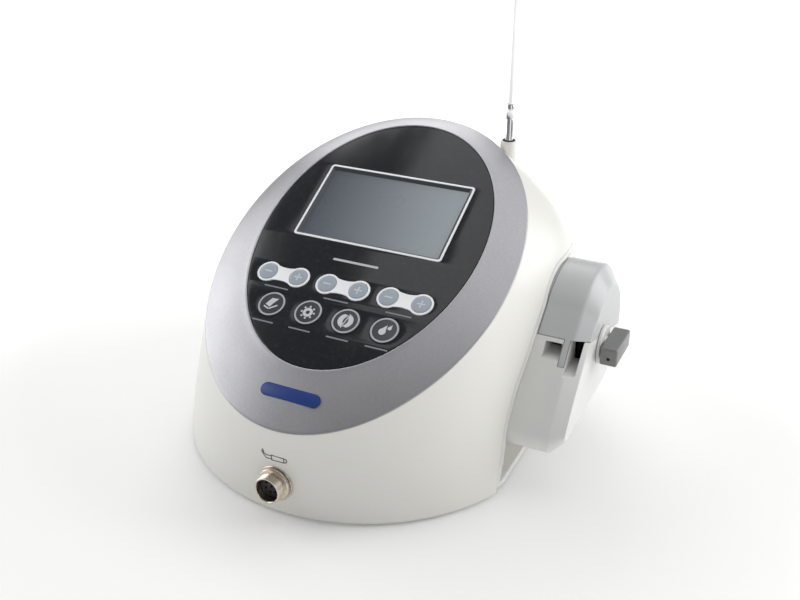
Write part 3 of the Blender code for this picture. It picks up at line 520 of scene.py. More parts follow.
def lathe(name, profile, place, direction=(0, 0, 1), steps=64, ring=False):
    """Turn a profile of (radius, height) points round a direction."""
    work = bmesh.new()
    turns = [2 * math.pi * i / steps for i in range(steps)]
    rows = []
    for radius, height in profile:
        angles = turns if radius else turns[:1]
        spots = [(radius * math.cos(angle), radius * math.sin(angle)) for angle in angles]
        rows.append([work.verts.new((x * MM, y * MM, height * MM)) for x, y in spots])
    skin(work, rows, ring)
    return moved(from_bmesh(name, work), Matrix.Translation(Vector(place) * MM) @ towards(direction))


def rod(name, radius, start, end, place, direction=(0, 0, 1), steps=64):
    """Plain cylinder between two distances along a direction."""
    return lathe(name, [(0, start), (radius, start), (radius, end), (0, end)], place, direction, steps)


def bar_profile(radius, start, end, chamfer, run):
    """Profile of a round bar with chamfered ends."""
    return [(0, start), (radius - chamfer, start), (radius, start + run), (radius, end - run),
            (radius - chamfer, end), (0, end)]


def add_line(curve, points, closed):
    spline = curve.splines.new("POLY")
    spline.points.add(len(points) - 1)
    for point, (x, y, z) in zip(spline.points, points):
        point.co = (x * MM, y * MM, z * MM, 1.0)
    spline.use_cyclic_u = closed


def curve_mesh(name, curve):
    """Mesh of a curve, by way of a throwaway object."""
    holder = new_object(name, curve)
    mesh = applied(holder)
    bpy.data.objects.remove(holder, do_unlink=True)
    return mesh


def plate(name, outlines, bottom, top, edge=0.0):
    """Flat plate in the X-Y plane with rounded edges, as a mesh object."""
    curve = bpy.data.curves.new(name, "CURVE")
    curve.dimensions = "2D"
    curve.fill_mode = "BOTH"
    curve.extrude = (top - bottom) * MM / 2 - edge * MM
    curve.bevel_depth = edge * MM
    curve.bevel_resolution = 2
    curve.offset = -edge * MM
    for outline in outlines:
        add_line(curve, [(x, y, 0) for x, y in outline], True)
    work = bmesh.new()
    work.from_mesh(curve_mesh(name, curve))
    bmesh.ops.remove_doubles(work, verts=work.verts[:], dist=0.000002)
    return moved(from_bmesh(name, work), Matrix.Translation((0, 0, (bottom + top) * MM / 2)))


PANEL = (Matrix.Translation((0, 0, PANEL_HEIGHT * MM))
         @ Matrix.Rotation(math.radians(PANEL_TILT), 4, "X"))
SIDEWAYS = Matrix(((0, 0, 1, 0), (1, 0, 0, 0), (0, 1, 0, 0), (0, 0, 0, 1)))


def panel_plate(name, outlines, bottom, top, edge=0.0):
    return moved(plate(name, outlines, bottom, top, edge), PANEL)


def side_plate(name, outlines, inner_x, outer_x):
    """Plate whose outlines are (y, z) points, between two X levels."""
    return moved(plate(name, outlines, inner_x, outer_x), SIDEWAYS)


def block(name, low, high, edge=0.4, segments=2):
    """Box between two corners with rounded edges."""
    work = bmesh.new()
    bmesh.ops.create_cube(work, size=1.0)
    low, high = Vector(low), Vector(high)
    bmesh.ops.scale(work, vec=(high - low) * MM, verts=work.verts[:])
    bmesh.ops.translate(work, vec=(high + low) * MM / 2, verts=work.verts[:])
    if edge:
        bmesh.ops.bevel(work, geom=work.edges[:], offset=edge * MM, segments=segments, affect="EDGES",
                        profile=0.5)
    return from_bmesh(name, work)


def cut(target, cutter, operation="DIFFERENCE"):
    """Boolean with a throwaway object, applied at once."""
    change = target.modifiers.new(cutter.name, "BOOLEAN")
    change.operation = operation
    change.solver = "EXACT"
    change.object = cutter
    mesh = applied(target)
    target.modifiers.clear()
    target.data = mesh
    bpy.data.objects.remove(cutter, do_unlink=True)


def merged(name, items):
    """One mesh object out of several that don't need a boolean."""
    work = bmesh.new()
    for item in items:
        work.from_mesh(item.data)
        bpy.data.objects.remove(item, do_unlink=True)
    return unchecked(name, work)


def arc(centre, radius, start, end, count):
    points = []
    for i in range(count + 1):
        angle = math.radians(start + (end - start) * i / count)
        points.append((centre[0] + radius * math.cos(angle), centre[1] + radius * math.sin(angle)))
    return points


def circle(centre, radius, count=64):
    return arc(centre, radius, 0, 360, count)[:-1]


def rounded_rectangle(width, height, radius, centre=(0, 0), steps=8):
    points = []
    for sign_x, sign_y, start in ((1, 1, 0), (-1, 1, 90), (-1, -1, 180), (1, -1, 270)):
        middle = (centre[0] + sign_x * (width / 2 - radius), centre[1] + sign_y * (height / 2 - radius))
        points += arc(middle, radius, start, start + 90, steps)
    return points


def shifted(outline, x, y):
    return [(px + x, py + y) for px, py in outline]


def stroke(start, end, width, steps=6):
    """Capsule outline round a straight line."""
    run = Vector(end) - Vector(start)
    angle = math.degrees(math.atan2(run.y, run.x))
    return (arc(start, width / 2, angle + 90, angle + 270, steps)
            + arc(end, width / 2, angle - 90, angle + 90, steps))


# ------------------------------------------------------------- body shape

WALL_ANGLES = [2 * math.pi * i / WALL_SEGMENTS for i in range(WALL_SEGMENTS)]


def egg(half_x, half_v, centre_v, widening, angle):
    """Point of an oval that is wider at its far end."""
    lift = math.sin(angle)
    return (half_x * math.cos(angle) * (1 + widening * lift), centre_v + half_v * lift)


def rim_point(angle):
    return egg(RIM_HALF_X, RIM_HALF_V, RIM_CENTRE_V, RIM_EGG, angle)


def face_point(angle, grow=0.0):
    return egg(FACE_HALF_X + grow, FACE_HALF_V + grow, FACE_CENTRE_V, FACE_EGG, angle)


def on_panel(x, v, n):
    return PANEL @ Vector((x * MM, v * MM, n * MM)) / MM


def base_point(angle, inset=0.0):
    """Footprint of the wall: round in front, squarer behind."""
    across, back = math.cos(angle), math.sin(angle)
    radius = reach = BASE_RADIUS - inset
    if back >= 0:
        n = REAR_SQUARENESS
        reach = (abs(across / radius) ** n + abs(back / (REAR_DEPTH - inset)) ** n) ** (-1 / n)
    return Vector((reach * across, BASE_CENTRE_Y + reach * back, 0))


def wall_bulge(angle):
    """How full the wall is: lean in front, fullest at the sides, less so behind."""
    lift = math.sin(angle)
    turn = min(1.0, max(0.0, (lift + 0.15) / 0.55))
    base = FRONT_BULGE + (REAR_BULGE - FRONT_BULGE) * turn
    offset = (math.degrees(math.asin(lift)) - SIDE_BULGE_ANGLE) / SIDE_BULGE_SPREAD
    return base + (SIDE_BULGE - base) * math.exp(-offset * offset)


def wall_point(angle, share, inset=0.0):
    """Outer wall from the rim (share 0) down to the footprint (share 1)."""
    x, v = rim_point(angle)
    rim = on_panel(x, v, -RIM_DROP)
    foot = base_point(angle)
    spread = 1 - (1 - share) ** wall_bulge(angle)
    point = rim.lerp(foot, spread)
    point.z = rim.z * (1 - share)
    if inset:
        centre = Vector((0, BASE_CENTRE_Y, point.z))
        point -= (point - centre).normalized() * inset
    return point


def wall_section(share, inset=0.0, lift=0.0):
    return [wall_point(angle, share, inset) + Vector((0, 0, lift)) for angle in WALL_ANGLES]


def ledge_section(share, drop):
    """Section between the wall's rim (share 0) and the black face (1), below the panel's plane."""
    section = []
    for angle in WALL_ANGLES:
        point = Vector(rim_point(angle)).lerp(Vector(face_point(angle)), share)
        section.append(on_panel(point.x, point.y, -drop))
    return section


def bowed(start, end, sag, count):
    """Points between two others on a shallow bow."""
    run = Vector(end) - Vector(start)
    side = Vector((-run.y, run.x)).normalized()
    steps = [i / count for i in range(1, count)]
    return [tuple(Vector(start) + run * t + side * sag * 4 * t * (1 - t)) for t in steps]


def bay_outline(margin, bottom):
    """Opening round the pump, as (y, z) points."""
    head = HEAD_RADIUS + BAY_CLEARANCE + margin
    toe = TOE_RADIUS + BAY_CLEARANCE + margin
    points = [(140, bottom), (140, HEAD_Z + head)]
    points += arc((HEAD_Y, HEAD_Z), head, 90, 138, 24)
    brow_end = arc((TOE_Y, TOE_Z), toe, 152, 180, 2)
    points += bowed(points[-1], brow_end[0], -BROW_SAG, 16)
    points += brow_end[:2]
    points += [(BAY_FOOT_Y - margin, 5.5), (BAY_FOOT_Y - margin, bottom)]
    return points


def make_shell():
    """White housing with an even wall, a rolled bottom edge and its openings."""
    shares = [((WALL_ROWS - i) / WALL_ROWS) ** 1.5 for i in range(WALL_ROWS + 1)]
    sections = [wall_section(1.0, 0.5), wall_section(1.0, 0.12, 0.15), wall_section(1.0, 0.0, 0.6)]
    sections += [wall_section(share) for share in shares if 0.004 < share < 0.985]
    ledge = ((-0.006, -0.05), (0.002, -0.3), (0.014, -0.3), (0.03, 0.2), (0.06, 2.4), (0.30, 3.0),
             (0.30, 5.0), (0.14, 5.2))
    sections += [ledge_section(share, RIM_DROP + depth) for share, depth in ledge]
    sections += [wall_section(share, WALL) for share in reversed(shares) if 0.16 < share < 0.985]
    sections += [wall_section(1.0, WALL)]
    shell = loft("housing_shell", sections, ring=True)
    cut(shell, side_plate("bay", [bay_outline(BAY_GAP, -5.0)], BAY_FLOOR_X - BAY_GAP, 130))
    seat, outward = socket_frame()
    cut(shell, rod("bore", SOCKET_HOLE_RADIUS, -20, 20, seat, outward))
    bottom, top = REAR_PANEL_Z
    half = REAR_PANEL_WIDTH / 2
    cut(shell, block("rear", (-half, REAR_OPENING_Y - 30, bottom), (half, REAR_OPENING_Y + 30, top), 3.0, 4))
    cut(shell, rod("pole", POLE_HOLE_RADIUS, 120, 170, POLE_PLACE))
    piece(shell, "white_abs", "console", ["upper_housing"], sharp=40)


def make_bay():
    """Recess behind the pump, open to the right, with a hole for the drive shaft."""
    tray = side_plate("bay_tray", [bay_outline(0, BAY_BOTTOM_Z)], BAY_FLOOR_X, 125)
    hollow = bay_outline(-BAY_WALL, BAY_BOTTOM_Z + BAY_SILL)
    cut(tray, side_plate("hollow", [hollow], BAY_FLOOR_X + BAY_WALL, 140))
    shares = (1.0, 0.8, 0.6, 0.45, 0.33, 0.23, 0.15, 0.09, 0.04)
    cut(tray, loft("trim", [wall_section(share, 0.12) for share in shares]), "INTERSECT")
    cut(tray, block("lip", (LIP_X, -150, -50), (LIP_X + 60, 150, LIP_TRIM_Z), 0))
    cut(tray, rod("hole", SHAFT_HOLE_RADIUS, 0, 30, (75, ROTOR_Y, ROTOR_Z), (1, 0, 0)))
    piece(tray, "white_abs", "console", ["pump_bay"])


def node_spots(node):
    """Centres of the four CAD nodes of one name."""
    return [sum(box_mm("%s_%d" % (node, number)), Vector()) / 2 for number in (1, 2, 3, 4)]


def make_underside():
    """Bottom cover with rubber feet and cross-slotted screws."""
    outline = [tuple(base_point(angle, WALL + 0.9)[:2]) for angle in WALL_ANGLES]
    outline = [(min(x, LIP_X), y) for x, y in outline]
    foot_spots, screw_spots = node_spots("foot"), node_spots("base_screw")
    holes = [circle((spot.x, spot.y), FOOT_HOLE_RADIUS, 32) for spot in foot_spots]
    holes += [circle((spot.x, spot.y), SCREW_HOLE_RADIUS, 32) for spot in screw_spots]
    bottom = plate("bottom_cover", [outline] + holes, 0, BASE_THICKNESS, 0.5)
    piece(bottom, "white_abs", "console", ["base_plate"])
    label = plate("blank_type_plate", [rounded_rectangle(62, 34, 2.5, (0, 40))], -0.15, 0.02, 0.05)
    piece(label, "sheet_metal", "console")
    profile = [(0, 4.4), (2.0, 4.4), (2.6, 3.6), (2.6, -0.3), (7.5, -0.3), (8.0, -0.6), (8.0, -1.3),
               (7.6, -1.65), (7.0, -1.8), (5.6, -1.8), (5.2, -1.5), (4.8, -1.8), (3.4, -1.8), (3.0, -1.5),
               (2.6, -1.8), (0, -1.8)]
    for number, spot in enumerate(foot_spots, 1):
        foot = lathe("foot_pad_%d" % number, profile, (spot.x, spot.y, 0))
        piece(foot, "rubber", "console", ["foot_%d" % number])
    profile = [(0, 12), (1.0, 12), (1.3, 11.2), (1.3, 1.5), (2.9, 1.5), (2.9, 0.6), (2.4, 0.2), (0, 0.1)]
    for number, spot in enumerate(screw_spots, 1):
        screw = lathe("bottom_screw_%d" % number, profile, (spot.x, spot.y, 0), steps=40)
        for half_x, half_y in ((1.7, 0.35), (0.35, 1.7)):
            cut(screw, block("slot", (spot.x - half_x, spot.y - half_y, -1),
                             (spot.x + half_x, spot.y + half_y, 1.0), 0))
        piece(screw, "screw_steel", "console", ["base_screw_%d" % number])


# ------------------------------------------------------------- panel

def ring_height(t):
    """Crowned top of the fascia ring, from its outer (0) to its inner edge (1)."""
    return -RIM_DROP + RING_EDGE + RING_RISE * t + RING_CROWN * math.sin(math.pi * t)


def make_ring():
    """Silver fascia ring: crowned slope, rolled outer edge and raised inner lip."""
    steps = [(0.000, -RIM_DROP - 0.4), (0.003, -RIM_DROP + 0.25), (0.016, -RIM_DROP + 0.62)]
    steps += [(RING_START + RING_SPAN * k / 12, ring_height(k / 12)) for k in range(12)]
    steps += [(0.955, 0.42), (0.972, 0.55), (0.985, 0.50), (0.997, -0.05), (0.999, -3.0),
              (0.5, -5.6), (0.09, -RIM_DROP - 1.5)]
    ring = loft("silver_fascia", [ledge_section(share, -height) for share, height in steps], ring=True)
    piece(ring, "silver_paint", "console", ["fascia_ring"], sharp=60)


def rocker_outline(margin):
    """Dog-bone outline of a rocker plate: round ends and a hollow waist."""
    radius = ROCKER_END_RADIUS + margin
    waist = ROCKER_WAIST + margin
    right = arc((ROCKER_HALF_SPAN, 0), radius, -130, 130, 40)
    join_x, join_y = right[-1]
    across = [join_x * (1 - 2 * k / 12) for k in range(1, 12)]
    half = right + [(x, waist + (join_y - waist) * (x / join_x) ** 2) for x in across]
    return half + [(-x, -y) for x, y in half]


def rocker_places():
    return [(name, (number - 1) * ROCKER_PITCH) for number, name in enumerate(("program", "speed", "torque"))]


def round_key_places():
    names = ("memory", "gear", "direction", "coolant")
    return [(name, (number - 1.5) * ROUND_KEY_PITCH) for number, name in enumerate(names)]


def printed_bar(name, x, v, reach, width):
    return panel_plate(name, [stroke((x - reach, v), (x + reach, v), width)], 0, PRINT)


def make_face():
    """Black overlay with its openings, and the printing on it."""
    outline = [face_point(angle, -0.35) for angle in WALL_ANGLES]
    border = 2 * DISPLAY_BORDER + 0.2
    holes = [rounded_rectangle(DISPLAY_X + border, DISPLAY_V + border, DISPLAY_CORNER)]
    holes += [shifted(rocker_outline(0.15), x, ROCKER_V) for _, x in rocker_places()]
    holes += [circle((x, ROUND_KEY_V), ROUND_KEY_RADIUS + KEY_GAP) for _, x in round_key_places()]
    face = panel_plate("panel_overlay", [outline] + holes, -FACE_THICKNESS, 0, 0.15)
    piece(face, "black_face", "console", ["black_face"])
    piece(printed_bar("title_bar", 0, TITLE_V, 14, 1.5), "title_print", "console")
    marks = [printed_bar("mark", x, ROCKER_LABEL_V, 7.5, 0.9) for _, x in rocker_places()]
    marks += [printed_bar("mark", x, ROUND_KEY_LABEL_V, 6.5, 0.9) for _, x in round_key_places()]
    piece(merged("label_bars", marks), "faint_print", "console")


def make_display():
    """White border, sloping inner frame coloured near-black as painted shade, and the blue-grey screen."""
    outer = rounded_rectangle(DISPLAY_X + 2 * DISPLAY_BORDER, DISPLAY_V + 2 * DISPLAY_BORDER, DISPLAY_CORNER)
    inner = rounded_rectangle(DISPLAY_X, DISPLAY_V, DISPLAY_CORNER * 0.6)
    border = panel_plate("screen_border", [outer, inner], -2.0, 0.15, 0.12)
    piece(border, "white_print", "console", ["display_border"])
    sections = []
    for inset, level in ((0.05, -0.05), (DISPLAY_SLOPE, -DISPLAY_DEPTH), (DISPLAY_SLOPE, -2.0), (0.05, -2.0)):
        shape = rounded_rectangle(DISPLAY_X - 2 * inset, DISPLAY_V - 2 * inset, 1.1)
        sections.append([(x, v, level) for x, v in shape])
    slope = moved(loft("screen_slope", sections, ring=True), PANEL)
    # The frame's near-black finish is painted shade inside the screen's recess.
    piece(slope, "display_slope", "console")
    screen = rounded_rectangle(DISPLAY_X - 2 * DISPLAY_SLOPE, DISPLAY_V - 2 * DISPLAY_SLOPE, 1.0)
    glass = panel_plate("screen", [screen], -1.98, -DISPLAY_DEPTH + 0.05)
    piece(glass, "display_glass", "console", ["display_window"])


def key_cap(name, x, v, radius, crown):
    """Round key with a rolled edge and a shallow crown."""
    profile = [(0, KEY_BOTTOM), (radius, KEY_BOTTOM), (radius, KEY_TOP - KEY_EDGE),
               (radius - 0.12, KEY_TOP - 0.15), (radius - KEY_EDGE, KEY_TOP)]
    for k in range(1, 6):
        share = 1 - k / 5
        profile.append(((radius - KEY_EDGE) * share, KEY_TOP + crown * (1 - share ** 2)))
    return moved(lathe(name, profile, (x, v, 0), steps=72), PANEL)


def print_on_key(name, shapes, x, v, finish, body, level=KEY_TOP):
    """Flat marks on a key, each one outline with its own holes."""
    items = [panel_plate("part", [shifted(outline, x, v) for outline in outlines], level, level + KEY_PRINT)
             for outlines in shapes]
    piece(merged(name, items), finish, body)


def make_rockers():
    """White rocker plates, each with a minus key and a plus key."""
    sides = (("down", -ROCKER_HALF_SPAN), ("up", ROCKER_HALF_SPAN))
    for name, x in rocker_places():
        holes = [circle((x + side, ROCKER_V), STEP_KEY_RADIUS + 0.2) for _, side in sides]
        outline = shifted(rocker_outline(0), x, ROCKER_V)
        bezel = panel_plate("%s_rocker_frame" % name, [outline] + holes, -2.0, 0.42, 0.2)
        piece(bezel, "white_print", "console", ["%s_bezel" % name])
        for label, side in sides:
            body = "%s_%s_key" % (name, label)
            cap = key_cap(body + "_cap", x + side, ROCKER_V, STEP_KEY_RADIUS, 0.12)
            piece(cap, "key_blue_grey", body, [body])
            strokes = [((-2.1, 0), (2.1, 0))]
            if label == "up":
                strokes += [((0, 0.6), (0, 2.1)), ((0, -2.1), (0, -0.6))]
            signs = [[stroke(start, end, 0.95)] for start, end in strokes]
            print_on_key(body + "_sign", signs, x + side, ROCKER_V, "icon", body)


def drop_outline(x, y, size):
    """Droplet with its tip up and to the right."""
    points = arc((0, 0), size, 130, 410, 24)
    points.append((0, size * 2.3))
    turn = Matrix.Rotation(math.radians(-18), 2)
    return [tuple(turn @ Vector(p) + Vector((x, y))) for p in points]


def crescent(radius, offset, start, end):
    """Outline between an arc and a smaller one beside it."""
    return arc((0, 0), radius, start, end, 18) + arc((offset, 0), radius * 0.86, end, start, 18)


def icon_shapes(name):
    """Plain symbols: page with a tick, gear wheel, two turning halves and droplets."""
    if name == "memory":
        page = [(-3.4, -1.0), (-1.2, 3.6), (3.0, 3.9), (1.0, 0.4), (-0.2, -2.4)]
        return [[page], [stroke((-3.6, -2.4), (-0.6, -3.6), 0.8)], [stroke((0.2, -3.4), (3.8, -0.6), 0.9)]]
    if name == "gear":
        centre = (0, -0.2)
        teeth = [[circle(spot, 0.62, 12)] for spot in circle(centre, 3.9, 8)]
        return [[circle(centre, 3.0, 32), circle(centre, 1.25, 24)]] + teeth
    if name == "direction":
        right = crescent(4.6, -2.4, -64, 64)
        left = [(-x, -y) for x, y in right]
        return [[left], [right], [stroke((-1.0, -4.6), (1.0, 4.6), 0.6)]]
    return [[drop_outline(-0.9, -1.3, 2.1)], [drop_outline(2.5, 1.6, 1.15)]]


def make_round_keys():
    for name, x in round_key_places():
        body = "%s_key" % name
        cap = key_cap(body + "_cap", x, ROUND_KEY_V, ROUND_KEY_RADIUS, 0.10)
        piece(cap, "key_dark", body, [body])
        rings = [[circle((0, 0), ROUND_KEY_RADIUS - 0.35), circle((0, 0), ROUND_KEY_RADIUS - 1.35)]]
        print_on_key(body + "_ring", rings, x, ROUND_KEY_V, "key_ring", body, KEY_TOP - 0.12)
        print_on_key(body + "_icon", icon_shapes(name), x, ROUND_KEY_V, "icon", body)


def make_ring_mark():
    """Plain blue bar low on the silver ring."""
    angle = math.radians(-90)
    rim, face = Vector(rim_point(angle)), Vector(face_point(angle))
    v = rim.lerp(face, RING_MARK_SHARE).y
    level = ring_height((RING_MARK_SHARE - RING_START) / RING_SPAN)
    tilt = math.atan(RING_RISE * 0.9 / (face.y - rim.y))
    bar = plate("blue_bar", [stroke((-14.5, 0), (14.5, 0), 7.6, 16)], -0.5, 0.09, 0.03)
    moved(bar, PANEL @ Matrix.Translation((1.5 * MM, v * MM, level * MM)) @ Matrix.Rotation(tilt, 4, "X"))
    piece(bar, "blue_print", "console")


# ------------------------------------------------------------- front socket

def front_share(height):
    """Share of the front wall at a height."""
    return 1 - height / wall_point(math.radians(-90), 0).z


def socket_frame():
    """Centre of the socket's seat on the front wall, and its direction."""
    tilt = math.radians(SOCKET_TILT)
    outward = Vector((0, -math.cos(tilt), math.sin(tilt)))
    return Vector((0, wall_point(math.radians(-90), front_share(SOCKET_Z)).y, SOCKET_Z)), outward


def threaded(radius, start, end, pitch, depth):
    """Outer profile of a thread between two heights, from high to low."""
    points = []
    height = end
    while height - pitch > start:
        points += [(radius - depth, height), (radius, height - pitch * 0.42),
                   (radius, height - pitch * 0.58), (radius - depth, height - pitch)]
        height -= pitch
    return points


def make_socket():
    """Plated, threaded socket with a pin insert, washer and inner nut."""
    seat, outward = socket_frame()
    stick, flange = SOCKET_STICKOUT, SOCKET_FLANGE_RADIUS
    radius = SOCKET_RADIUS - 0.1
    barrel = [(6.6, stick - 0.5), (6.9, stick - 0.05), (7.2, stick), (radius - 0.35, stick),
              (radius, stick - 0.35)]
    barrel += threaded(radius, 4.4, stick - 0.9, 1.0, 0.3)
    barrel += [(radius - 0.3, 4.0), (radius - 0.3, 3.4), (radius + 0.2, 3.2), (flange - 0.7, 3.1),
               (flange - 0.2, 2.7), (flange, 2.2), (flange, 1.6), (flange - 0.3, 1.2), (radius, 1.2),
               (radius, -12), (6.6, -12)]
    item = lathe("socket_barrel", barrel, seat, outward, steps=96, ring=True)
    piece(item, "nickel", "console", ["motor_socket_barrel"], sharp=28)
    washer = [(radius + 0.15, 1.0), (flange + 0.5, 1.0), (flange + 0.7, 0.7), (flange + 0.7, 0.2),
              (radius + 0.15, 0.2)]
    piece(lathe("socket_washer", washer, seat, outward, steps=96, ring=True), "nickel", "console")
    face = stick - 5.2
    insert = [(0, face), (5.6, face), (5.9, face + 0.5), (6.3, face + 0.5), (6.3, -11), (0, -11)]
    item = lathe("socket_insert", insert, seat, outward, steps=64)
    for across, up in circle((0, 0), CONTACT_CIRCLE_RADIUS, 7) + [(0, 0)]:
        place = seat + towards(outward) @ Vector((across, up, 0))
        cut(item, rod("hole", 0.75, face - 3, face + 2, place, outward, 16))
    piece(item, "black_plastic", "console", ["motor_socket_insert"])
    nut = [(SOCKET_HOLE_RADIUS, -4.0), (10.4, -4.0), (11.0, -4.5), (11.0, -6.5), (10.4, -7.0),
           (SOCKET_HOLE_RADIUS, -7.0)]
    item = lathe("socket_nut", nut, seat, outward, steps=6, ring=True)
    piece(item, "nickel", "console", ["motor_socket_nut"])


def on_wall(across, height, out):
    """Point on the front wall: across in mm along X, at a height, lifted off by out."""
    angle = math.radians(-90) + across / BASE_RADIUS
    point = wall_point(angle, front_share(height))
    side = wall_point(angle + 0.01, front_share(height)) - wall_point(angle - 0.01, front_share(height))
    up = wall_point(angle, front_share(height + 1)) - wall_point(angle, front_share(height - 1))
    return point + side.cross(up).normalized() * out


def make_pictogram():
    """Thin outline of a plain handpiece above the socket."""
    lines = [
        [(-9.5, 37.2), (-8.7, 38.4), (-7.9, 37.2), (-8.7, 36.1), (-9.5, 37.2)],
        [(-8.0, 36.4), (-6.0, 35.6), (-2.0, 35.9), (-2.0, 33.9), (-6.0, 33.7), (-8.6, 35.8)],
        [(-2.0, 36.4), (6.8, 36.2), (8.6, 35.6), (8.6, 34.2), (6.8, 33.5), (-2.0, 33.4), (-2.0, 36.4)],
        [(6.6, 36.2), (6.6, 33.5)],
    ]
    work = bmesh.new()
    half = PICTOGRAM_LINE / 2
    for line in lines:
        for start, end in zip(line, line[1:]):
            run = (Vector(end) - Vector(start)).normalized()
            side = Vector((-run.y, run.x)) * half
            a, b = Vector(start) - run * half, Vector(end) + run * half
            spots = (a - side, b - side, b + side, a + side)
            lower, upper = [[work.verts.new(on_wall(*spot, out) * MM) for spot in spots]
                            for out in PICTOGRAM_DEPTHS]
            work.faces.new(list(reversed(lower)))
            work.faces.new(upper)
            for i in range(4):
                j = (i + 1) % 4
                work.faces.new((lower[i], lower[j], upper[j], upper[i]))
    piece(from_bmesh("handpiece_outline", work), "grey_print", "console")


# ------------------------------------------------------------- pump

def pump_outline(head_y, head_radius, toe_y, toe_z, toe_radius):
    """Outline of the pump as (y, z) points: a large round head and a small round toe."""
    points = arc((head_y, HEAD_Z), head_radius, -90, 138, 84)
    toe = arc((toe_y, toe_z), toe_radius, 152, 265, 20)
    return points + bowed(points[-1], toe[0], -BROW_SAG, 20) + toe


# Way to the small outer face, against the distance past the shoulder and before the face
SHOULDER_PROFILE = ((0.0, -1.6), (0.012, -0.7), (0.05, 0.1), (0.14, 0.95))
FACE_EDGE_PROFILE = ((0.86, -1.2), (0.95, -0.5), (1.01, -0.12), (1.06, 0.0))


def pump_sections(inset, inner_x, outer_x, soft=True):
    """Sections of the pump's outer form with softened chamfer edges."""
    main = pump_outline(HEAD_Y, HEAD_RADIUS - inset, TOE_Y, TOE_Z, TOE_RADIUS - inset)
    face = pump_outline(FACE_HEAD_Y, FACE_HEAD_RADIUS - inset, FACE_TOE_Y, FACE_TOE_Z,
                        max(0.8, FACE_TOE_RADIUS - inset))
    shoulder = PUMP_SHOULDER_X - inset * 0.5
    if soft:
        stations = [(inner_x, 0.0)]
        stations += [(shoulder + offset, share) for share, offset in SHOULDER_PROFILE]
        stations += [(outer_x + offset, share) for share, offset in FACE_EDGE_PROFILE]
    else:
        stations = [(inner_x, 0.0), (shoulder, 0.0), (outer_x, 1.0)]
    return [[(x, a[0] + (b[0] - a[0]) * share, a[1] + (b[1] - a[1]) * share) for a, b in zip(main, face)]
            for x, share in stations]


def x_rod(name, radius, start, end, y, z, steps=48):
    return rod(name, radius, 0, end - start, (start, y, z), (1, 0, 0), steps)


def knuckle(name, start, end, extra=0.0):
    return x_rod(name, HINGE_RADIUS + extra, start, end, HINGE_Y, HINGE_Z, 40)


def pin_hole():
    return x_rod("pin", HINGE_PIN_RADIUS + 0.3, 90, 150, HINGE_Y, HINGE_Z)


def on_split(item):
    """Lay a piece made in the split plane's own frame on the sloping split."""
    turn = Matrix.Rotation(math.atan(SPLIT_SLOPE), 4, "X")
    return moved(item, Matrix.Translation((0, 0, SPLIT_Z * MM)) @ turn)


def half_space(above):
    """Large block on one side of the sloping split, half a seam past it."""
    low, high = (-0.15, 110) if above else (-110, 0.15)
    return on_split(block("half", (60, -120, low), (170, 150, high), 0))


def hinge_web(name, start, end, depth):
    """Block that joins a knuckle to its half, above or below the split by its depth."""
    reach = HINGE_Y / math.cos(math.atan(SPLIT_SLOPE))
    gap = math.copysign(0.3, depth)
    low, high = sorted((gap, gap + depth))
    return on_split(block(name, (start + 0.4, reach - 10.4, low), (end - 0.4, reach - 0.6, high), 0))


def cover_tab():
    """Tongue of the cover that runs down its front between the tube slots."""
    tab = loft("tab", pump_sections(0, PUMP_INNER_X, PUMP_OUTER_X))
    cut(tab, loft("inside", pump_sections(TAB_THICKNESS, PUMP_INNER_X - 5, PUMP_OUTER_X + 5)))
    limits = block("limits", (TAB_X[0], -70, TAB_BOTTOM_Z), (TAB_X[1], -7, TAB_BOTTOM_Z + 16), 0.7)
    cut(tab, limits, "INTERSECT")
    return tab


def make_pump_housing():
    """White lower half with the roller track, tube windows and a slot for the cover's tab."""
    housing = loft("pump_lower", pump_sections(0, PUMP_INNER_X, PUMP_OUTER_X))
    cut(housing, half_space(True))
    start, end = TRACK_X
    cut(housing, x_rod("track", TRACK_RADIUS, start, end, ROTOR_Y, ROTOR_Z, 96))
    half = TRACK_RADIUS - 0.2
    cut(housing, block("mouth", (start, ROTOR_Y - half, MOUTH_Z), (end, ROTOR_Y + half, 98), 0))
    cut(housing, x_rod("shaft", 3.8, 80, 110, ROTOR_Y, ROTOR_Z))
    cut(housing, block("inner", *INNER_NOTCH, 0.7))
    cut(housing, block("outer", *OUTER_NOTCH, 0.7))
    cut(housing, block("slot", (TAB_X[0] - TAB_GAP, -72, TAB_BOTTOM_Z - TAB_GAP),
                       (TAB_X[1] + TAB_GAP, TAB_SLOT_REAR_Y, TAB_BOTTOM_Z + 40), 0))
    for start, end in ((106.0, 110.4), (119.6, 124.0)):
        cut(housing, knuckle("knuckle", start, end), "UNION")
        cut(housing, hinge_web("web", start, end, -3.2), "UNION")
    cut(housing, knuckle("gap", 110.0, 120.0, 0.5))
    cut(housing, pin_hole())
    piece(housing, "pump_white", "console", ["pump_housing"], weighted=True)


def make_pump_bracket():
    """Grey block behind the cover, between it and the recess."""
    bracket = loft("pump_back", pump_sections(0.4, PUMP_INNER_X, PUMP_OUTER_X))
    cut(bracket, half_space(False))
    cut(bracket, block("front", (COVER_INNER_X - 0.3, -120, 0), (170, 140, 200), 0))
    piece(bracket, "pump_grey", "console", ["pump_bracket"], weighted=True)


